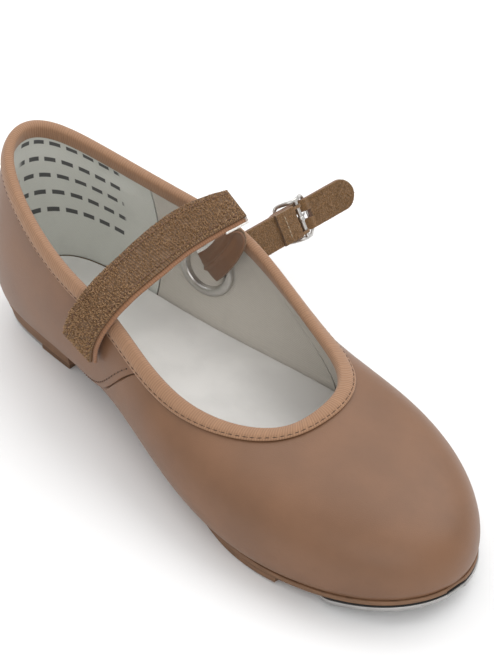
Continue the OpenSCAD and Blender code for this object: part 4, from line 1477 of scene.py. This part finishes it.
@dataclass
class InstepBand:
    """Webbing band with hook tape on top, and the leather tail that leaves it for the eyelet."""

    width: float = 17.0
    strap_w: float = 12.0
    tape_top: float = 0.85
    hooks: int = 3600
    tangles: int = 2600
    route: Ribbon = field(default_factory=lambda: Ribbon(
        [[40, -34.9, 37, 4], [41.5, -35.4, 45.8, 6], [45, -28.3, 58.6, 2], [45, -13, 63, -4],
         [44.5, 3, 67.5, -12], [46, 17, 69.5, -12], [49.5, 28, 71, 3]]))
    tail: Ribbon = field(default_factory=lambda: Ribbon(
        [[46.5, 16, 66.2, -10], [49, 24.5, 66.8, -4], [49.8, 27.6, 60, 0], [47, 26.4, 51, -6],
         [41, 25.5, 42, -12], [35.2, 27, 35, -22], [33.3, 32, 34.2, -42], [35, 37, 32.8, -57]]))

    def band(self) -> None:
        """Backing, hook tape, hooks and the two rows of stitching."""
        long = self.route.length
        d = np.linspace(0, long, 260)
        half = self.width / 2
        wobble = 0.12 * np.sin(d / 3.1) + 0.08 * np.sin(d / 1.3)
        backing = strap_piece("band_webbing", self.route, d, half + 0.05 * wobble, half + wobble * 0.5,
                              -1.5, -0.1, Cloakroom.WEBBING, corner=0.65, across=16)
        Pieces.hand_over(backing, Body.SHOE, "band_backing")
        tape = strap_piece("hook_tape_ground", self.route, d, half - 0.3 + wobble * 0.4,
                           half - 1.2 + wobble * 0.4, 0.0, self.tape_top, Cloakroom.HOOK, corner=0.2,
                           across=24,
                           bend=lambda s, a: 0.05 * np.sin(s * 2.1 + a) * np.sin(a * 1.9 - s))
        Pieces.hand_over(tape, Body.SHOE, "hook_tape")
        area = (0.3, long - 0.3, -half + 0.5, half - 1.5)

        def worn(s: np.ndarray, a: np.ndarray) -> np.ndarray:
            """Fewer hooks on the middle stretch."""
            return 1 - 0.72 * smooth((s - 0.36 * long) / 9) * smooth((0.68 * long - s) / 9)

        hooks = fuzz("tape_hooks", self.route, area, self.tape_top, self.hooks, Cloakroom.NYLON, seed=7,
                     size=0.62, thick=0.085, keep=worn)
        Pieces.hand_over(hooks, Body.SHOE)
        tangle = fuzz("tape_tangle", self.route, area, self.tape_top, self.tangles, Cloakroom.FIBRE, seed=8,
                      size=0.4, thick=0.06)
        Pieces.hand_over(tangle, Body.SHOE)
        for name, a in (("left", -half + 2.6), ("right", half - 3.0)):
            thread = stitches(f"tape_thread_{name}", self.route.at(d, a, self.tape_top + 0.1),
                              self.route.facing(d), 2.3, Cloakroom.THREAD, length=0.8, width=0.4, lift=0.3)
            Pieces.hand_over(thread, Body.SHOE)
        self.rough_ends()

    def rough_ends(self) -> None:
        """Loose threads at the cut ends of the band, and the pale core that shows at the outer end."""
        half = self.width / 2
        end = self.route.length
        near = fuzz("near_end_threads", self.route, (-0.3, 0.8, -half + 0.2, half - 1), 0.3, 240,
                    Cloakroom.FIBRE, seed=11, size=0.7, thick=0.05)
        Pieces.hand_over(near, Body.SHOE)
        edge = fuzz("outer_end_threads", self.route, (end - 0.9, end + 0.1, -half + 0.3, half - 0.2),
                    -0.5, 260, Cloakroom.FRAY, seed=12, size=0.8, thick=0.055)
        Pieces.hand_over(edge, Body.SHOE)
        core = strap_piece("outer_end_core", self.route, np.linspace(end - 0.7, end - 0.02, 8), half - 3,
                           half + 0.25, -1.62, -0.55, Cloakroom.FRAY, corner=0.4)
        Pieces.hand_over(core, Body.SHOE)
        side = strap_piece("outer_side_core", self.route, np.linspace(end - 9, end - 0.3, 30), -half + 0.8,
                           half + 0.3, -1.75, -0.7, Cloakroom.FRAY, corner=0.4)
        Pieces.hand_over(side, Body.SHOE)

    def cup(self, d: np.ndarray, a: np.ndarray) -> np.ndarray:
        """The tail curls across its width as it gathers into the eyelet."""
        along = smooth((d - 16) / 22) * (1 - smooth((d - 40) / 9))
        creases = ((0.8, 2.2, -0.05, 0.8), (0.3, -2.0, 0.0, 0.8), (0.35, 0.4, 0.0, 0.5))
        folds = sum(deep * np.exp(-(((a - at - lean * d) / wide) ** 2)) for deep, at, lean, wide in creases)
        return along * 0.035 * a * a - folds * smooth((d - 12) / 8) * (1 - smooth((d - 40) / 9))

    def leather_tail(self) -> None:
        """The tail: leather outside, pile inside, and a pale core along its left edge."""
        d = np.linspace(0, self.tail.distance(TAIL_SPANS), 200)
        half = self.strap_w / 2
        outside = strap_piece("strap_tail_leather", self.tail, d, half, half, -0.95, -0.05, Cloakroom.UPPER,
                              corner=0.3, across=26, bend=self.cup)
        Pieces.hand_over(outside, Body.SHOE, "strap_tail")
        inside = strap_piece("strap_tail_pile", self.tail, d, half - 0.15, half - 0.15, 0.0, 0.75,
                             Cloakroom.PILE, corner=0.3, across=26, bend=self.cup)
        Pieces.hand_over(inside, Body.SHOE)
        core = strap_piece("tail_core", self.tail, d[40:-30], half + 0.9, 0.5 - half, -0.95, 0.5,
                           Cloakroom.FRAY, corner=0.2, across=4, bend=self.cup)
        Pieces.hand_over(core, Body.SHOE)

    def build(self) -> None:
        """Band, then tail."""
        self.band()
        self.leather_tail()


@dataclass
class FreeStrap:
    """The strap outside the eyelet, its folded end round the buckle bar, and the billet."""

    width: float = 12.0
    bar_at: float = 35.0
    tip_at: float = 62.0
    bridge: float = 2.6
    bar_gap: float = 2.4
    fold_back: float = 11.0
    fold_top: float = 1.95
    pile_top: float = 0.78
    tab_at: float = 4.9
    tab_w: float = 1.2
    billet_back: float = 14.0
    slot_back: float = 2.2
    slot_ahead: float = 6.0
    slot_half: float = 1.4
    route: Straight = field(default_factory=Straight)

    def fold(self) -> None:
        """Leather and pile that bend between the tail and the free strap.

        Each point of a section runs from the tail's last section to the strap's first along a cubic
        Hermite curve, whose two end slopes are the tail's direction and the strap's.
        """
        tail = InstepBand().tail
        last, first = tail.distance(TAIL_SPANS), self.bridge
        half = self.width / 2
        t = np.linspace(0, 1, 25)[:, None, None]
        for name, low, high, trim, finish in (
            ("fold_leather", -1.0, -0.05, 0.0, Cloakroom.UPPER),
            ("fold_pile", 0.0, self.pile_top, 0.15, Cloakroom.PILE),
        ):
            a, h = oblong(*(np.array([k]) for k in (half - trim, half - trim, low, high)), 0.3, 20)
            begin, end = tail.at(last - 0.1, a[0], h[0]), self.route.at(first + 0.1, a[0], h[0])
            run = np.linalg.norm(end - begin, axis=-1, keepdims=True)
            lead = run * (begin - tail.at(last - 0.3, a[0], h[0])) / 0.2
            loops = ((2 * t**3 - 3 * t**2 + 1) * begin + (t**3 - 2 * t**2 + t) * lead
                     + (3 * t**2 - 2 * t**3) * end + (t**3 - t**2) * run * self.route.ALONG)
            piece = Pieces.tube(name, loops, finish, sharp=60)
            self.route.at(-1.5, 0, 0) * MM
            self.route.at(first, 0, 0) * MM
            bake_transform(piece)
            LOG.info("%s bends at the fold", name)

    def plates(self) -> None:
        """Leather, its pile face, the folded end and its stitches."""
        half = self.width / 2
        d = np.linspace(self.bridge, self.bar_at - self.bar_gap, 90)
        leather = strap_piece("free_strap_leather", self.route, d, half, half, -1.0, -0.05, Cloakroom.UPPER,
                              across=20)
        Pieces.hand_over(leather, Body.STRAP, "buckle_strap")
        turned = self.bar_at - self.fold_back
        pile = strap_piece("free_strap_pile", self.route, np.linspace(self.bridge, turned + 0.4, 70),
                           half - 0.15, half - 0.15, 0.0, self.pile_top, Cloakroom.PILE, across=20)
        Pieces.hand_over(pile, Body.STRAP, "strap_loop_face")
        folded = strap_piece("folded_end", self.route, np.linspace(turned, self.bar_at - self.bar_gap, 40),
                             half - 0.05, half - 0.05, 0.05, self.fold_top, Cloakroom.PILE, corner=0.5,
                             across=20)
        Pieces.hand_over(folded, Body.STRAP)
        self.tabs()
        line = self.route.at(self.bar_at - 7.6, np.linspace(-half + 1.8, half - 1.8, 30),
                             self.fold_top + 0.02)
        thread = stitches("fold_thread", line, self.route.facing(line[:, 0]), 1.5, Cloakroom.PALE_THREAD,
                          length=0.92, width=0.36, lift=0.12)
        Pieces.hand_over(thread, Body.STRAP)
        nap = fuzz("strap_nap", self.route, (self.bridge, self.bar_at - 2.6, -half + 0.1, half - 0.1),
                   lambda s, a: np.where(s > turned, self.fold_top, self.pile_top), 1900,
                   Cloakroom.FIBRE, seed=21, size=0.28, thick=0.04)
        Pieces.hand_over(nap, Body.STRAP)

    def tabs(self) -> None:
        """Two tongues of the folded end that wrap the bar, with the prong's slot between them."""
        turn = np.linspace(-math.pi / 2, math.pi / 2, 21)
        centre, thick = 0.45, 0.45
        inner, root = 0.98, self.bar_at - 2.6
        y = np.concatenate([[root], self.bar_at + inner * np.cos(turn), [root]])
        h = np.concatenate([[centre - inner], centre + inner * np.sin(turn), [centre + inner]])
        out_y = np.concatenate([[root], self.bar_at + (inner + thick) * np.cos(turn), [root]])
        out_h = np.concatenate([[centre - inner - thick], centre + (inner + thick) * np.sin(turn),
                                [centre + inner + thick]])
        for name, a in (("left", -self.tab_at), ("right", self.tab_at)):
            sides = np.array([-0.5, 0.5]) * self.tab_w + a
            loops = np.stack([self.route.at(y, sides[0], h), self.route.at(out_y, sides[0], out_h),
                              self.route.at(out_y, sides[1], out_h), self.route.at(y, sides[1], h)], 1)
            tongue = Pieces.tube(f"bar_tab_{name}", loops, Cloakroom.PILE)
            Pieces.hand_over(bevelled(tongue, 0.2), Body.STRAP)

    def billet_height(self, d: np.ndarray) -> np.ndarray:
        """Top of the billet: low under the bar, up over the far rail."""
        return -1.85 + 1.6 * smooth((d - self.bar_at - 2.0) / 3.0)

    def billet(self) -> None:
        """The billet in leather and pile, with its slot for the prong."""
        half = self.width / 2 - 0.2
        start, stop = self.bar_at - self.billet_back, self.tip_at
        slot = (self.bar_at - self.slot_back, self.bar_at + self.slot_ahead)
        spans = [(start, slot[0], None), (slot[0], slot[1], -1), (slot[0], slot[1], 1), (slot[1], stop, None)]

        def reach(d: np.ndarray) -> np.ndarray:
            """Half width, rounded at both ends."""
            room = np.minimum(d - start, stop - d)
            return half * np.sqrt(np.clip(1 - np.clip(1 - room / half, 0, 1) ** 2, 0.0004, 1))

        layers = (("billet_leather", -1.75, -0.8, Cloakroom.UPPER, "billet", 0.0),
                  ("billet_pile", -0.78, 0.0, Cloakroom.PILE, "billet_loop_face", 0.12))
        for name, low, high, finish, node, trim in layers:
            parts = []
            for k, (a, b, side) in enumerate(spans):
                s = np.linspace(0, 1, 90)
                ease = (1 - np.cos(math.pi * s)) / 2 if side is None else s
                d = lerp(a, b, ease)
                wide = reach(d) - trim * (reach(d) > 1)
                left = wide if side != 1 else -self.slot_half + 0 * d
                right = wide if side != -1 else -self.slot_half + 0 * d
                rise = self.billet_height(d)
                parts.append(strap_piece(f"{name}_{k}", self.route, d, left, right, rise + low, rise + high,
                                         finish, corner=0.25, across=18))
            Pieces.hand_over(Pieces.joined(name, parts), Body.STRAP, node)

        def inside(s: np.ndarray, a: np.ndarray) -> np.ndarray:
            """1 where a place is on the billet, else 0."""
            return (np.abs(a) < reach(s) - 0.1) * 1.0

        nap = fuzz("billet_nap", self.route, (slot[1] + 0.2, stop - 0.1, -half, half),
                   lambda s, a: self.billet_height(s), 2300, Cloakroom.FIBRE, seed=22, size=0.28,
                   thick=0.04, keep=inside)
        Pieces.hand_over(nap, Body.STRAP)

    def build(self) -> None:
        """Fold, strap and billet."""
        self.fold()
        self.plates()
        self.billet()


@dataclass
class Buckle:
    """Arched frame with a fixed centre bar, and the prong that swings on the bar."""

    bar_at: float = 35.0
    bar_out: float = 0.45
    half_long: float = 6.5
    half_wide: float = 7.15
    near_out: float = -5.0
    far_out: float = -3.5
    prong_clear: float = 1.4
    route: Straight = field(default_factory=Straight)

    def height(self, y: np.ndarray) -> np.ndarray:
        """Height of the frame's centre line: down to both rails from the bar, as a smooth arch."""
        near = lerp(self.bar_out, self.near_out, smooth((-y - 0.6) / (self.half_long - 0.6)))
        far = lerp(self.bar_out, self.far_out, smooth((y - 0.6) / (self.half_long - 0.6)))
        return np.where(y < 0, near, far)

    def frame(self) -> bpy.types.Object:
        """Closed frame: an oval section carried round a rounded oblong."""
        t = np.linspace(0, TAU, 160, endpoint=False)
        power = 0.34
        a = self.half_wide * np.sign(np.cos(t)) * np.abs(np.cos(t)) ** power
        y = self.half_long * np.sign(np.sin(t)) * np.abs(np.sin(t)) ** power
        centre = self.route.at(self.bar_at + y, a, self.height(y))
        along = unit(np.roll(centre, -1, 0) - np.roll(centre, 1, 0))
        out = np.broadcast_to(self.route.OUT, along.shape)
        side = unit(np.cross(along, out))
        up = np.cross(side, along)
        turn = np.linspace(0, TAU, 14, endpoint=False)
        wide, tall = 0.78, 0.5
        loops = centre[:, None] + (wide * np.cos(turn))[None, :, None] * side[:, None] \
            + (tall * np.sin(turn))[None, :, None] * up[:, None]
        return Pieces.tube("buckle_frame_rails", loops[:, ::-1], Cloakroom.BRIGHT, ring=True, sharp=60)

    def bar(self) -> bpy.types.Object:
        """Centre bar with a small collar where it meets each rail."""
        a = np.linspace(-self.half_wide + 0.2, self.half_wide - 0.2, 40)
        radius = 0.88 + 0.14 * smooth((np.abs(a) - 6.1) / 0.3)
        turn = np.linspace(0, TAU, 28, endpoint=False)
        loops = self.route.at(self.bar_at + radius[:, None] * np.cos(turn), a[:, None],
                              self.bar_out + radius[:, None] * np.sin(turn))
        return Pieces.tube("buckle_centre_bar", loops, Cloakroom.BRIGHT, sharp=60)

    def prong(self) -> bpy.types.Object:
        """Prong: a hub round the bar and a tongue that tapers to the far rail."""
        drop_to_rail = self.far_out - self.bar_out
        reach = math.hypot(self.half_long, drop_to_rail)
        angle = math.atan2(drop_to_rail, self.half_long) - math.asin(self.prong_clear / reach)
        t = np.linspace(0, 1, 50)
        run = lerp(0.9, reach + 0.9, t)
        y = run * math.cos(angle)
        h = self.bar_out + run * math.sin(angle)
        radius = lerp(0.55, 0.42, t) * np.sqrt(np.clip((1.02 - t) / 0.06, 0.02, 1))
        turn = np.linspace(0, TAU, 18, endpoint=False)
        slope = unit(np.stack([np.gradient(y), np.gradient(h)], -1))
        loops = self.route.at(self.bar_at + y[:, None] + radius[:, None] * np.sin(turn) * slope[:, 1:],
                              radius[:, None] * np.cos(turn),
                              h[:, None] - radius[:, None] * np.sin(turn) * slope[:, :1])
        tongue = Pieces.tube("prong_tongue", loops[:, ::-1], Cloakroom.BRIGHT, sharp=60)
        a = np.linspace(-1.0, 1.0, 25)
        swell = 1.0 + 0.32 * np.sqrt(np.clip(1 - (a / 1.01) ** 2, 0, 1))
        spin = np.linspace(0, TAU, 32, endpoint=False)
        outer = self.route.at(self.bar_at + swell[:, None] * np.cos(spin), a[:, None],
                              self.bar_out + swell[:, None] * np.sin(spin))
        hub = Pieces.tube("prong_hub", outer, Cloakroom.BRIGHT, sharp=60)
        return Pieces.joined("buckle_prong_metal", [tongue, hub])

    def build(self) -> None:
        """Frame, bar and prong."""
        rails, bar = self.frame(), self.bar()
        Pieces.hand_over(rails, Body.BUCKLE, "buckle_frame")
        Pieces.hand_over(bar, Body.BUCKLE)
        Pieces.hand_over(self.prong(), Body.PRONG, "buckle_prong")


# ---------------------------------------------------------------- hidden nodes, studio


class HiddenParts:
    """CAD nodes inside the shoe, which keep their own shape and get a finish."""

    FINISHES = {
        "heel_counter": Cloakroom.BOARD,
        "toe_puff": Cloakroom.BOARD,
        "insole_board": Cloakroom.BOARD,
        "bottom_filler": Cloakroom.BOARD,
        "shank": Cloakroom.STEEL,
        "heel_nails": Cloakroom.STEEL,
        "toe_tap_shim": Cloakroom.SHIM,
    }

    def build(self) -> None:
        """Dresses each one."""
        for node, finish in self.FINISHES.items():
            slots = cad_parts[node].data.materials
            slots.clear()
            slots.append(Cloakroom.fetch(finish))
            LOG.info("%s dressed in %s", node, finish.name)


@dataclass
class Studio:
    """Pale floor, soft lights and the camera."""

    azimuth: float = -44.2
    elevation: float = 40.45
    distance: float = 920.7
    roll: float = 1.67
    aim: tuple[float, float, float] = (64.65, 19.52, 30.0)
    focal: float = 146.3

    def camera(self) -> None:
        """A long lens looking down on the toe from the inner side."""
        az, el, roll = (math.radians(k) for k in (self.azimuth, self.elevation, self.roll))
        back = Vector((math.cos(el) * math.cos(az), math.cos(el) * math.sin(az), math.sin(el)))
        right = Vector((0, 0, 1)).cross(back).normalized()
        up = back.cross(right)
        x = right * math.cos(roll) + up * math.sin(roll)
        y = up * math.cos(roll) - right * math.sin(roll)
        data = bpy.data.cameras.new("camera")
        data.lens = self.focal
        data.sensor_width = 36.0
        data.clip_start = 0.01
        made = bpy.data.objects.new("camera", data)
        turned = Matrix((x, y, back)).transposed().to_4x4()
        made.matrix_world = Matrix.Translation((Vector(self.aim) + back * self.distance) * MM) @ turned
        bpy.context.collection.objects.link(made)
        bpy.context.scene.camera = made

    def light(self, name: str, place: tuple, power: float, size: float) -> None:
        """One square soft light aimed at the middle of the shoe."""
        data = bpy.data.lights.new(name, "AREA")
        data.energy = power
        data.size = size
        made = bpy.data.objects.new(name, data)
        made.location = place
        aim = Vector((0.075, 0.01, 0.03)) - Vector(place)
        made.rotation_euler = aim.to_track_quat("-Z", "Y").to_euler()
        bpy.context.collection.objects.link(made)

    def floor(self) -> None:
        """A wide pale floor just under the shoe."""
        g = Graph("studio_floor")
        material = g.finish((0.88, 0.88, 0.88), 0.9)
        half, low = 3.0, -0.0001
        data = bpy.data.meshes.new("floor")
        corners = [(-half, -half, low), (half, -half, low), (half, half, low), (-half, half, low)]
        data.from_pydata(corners, [], [(0, 1, 2, 3)])
        data.materials.append(material)
        made = bpy.data.objects.new("floor", data)
        bpy.context.collection.objects.link(made)

    def build(self) -> None:
        """Camera, lights, floor and sky."""
        self.camera()
        self.floor()
        self.light("key", (0.25, 0.75, 1.25), power=10.5, size=1.3)
        self.light("fill", (0.9, -0.7, 0.9), power=5.0, size=1.2)
        self.light("back", (-0.8, 0.2, 0.9), power=5.0, size=0.9)
        world = bpy.data.worlds.new("studio")
        world.use_nodes = True
        world.node_tree.nodes["Background"].inputs[0].default_value = (1.0, 1.0, 1.0, 1.0)
        world.node_tree.nodes["Background"].inputs[1].default_value = 0.74
        bpy.context.scene.world = world
        bpy.context.scene.view_settings.view_transform = "Standard"


def main() -> None:
    """Builds the shoe, sub-assembly by sub-assembly."""
    logging.basicConfig(level=logging.INFO, format="%(message)s")
    Studio().build()
    for part in (Upper(), Binding(), Bottom(), Eyelet(), InstepBand(), FreeStrap(), Buckle(), HiddenParts()):
        part.build()
        LOG.info("%s done", type(part).__name__)


if __name__ == "__main__":
    main()
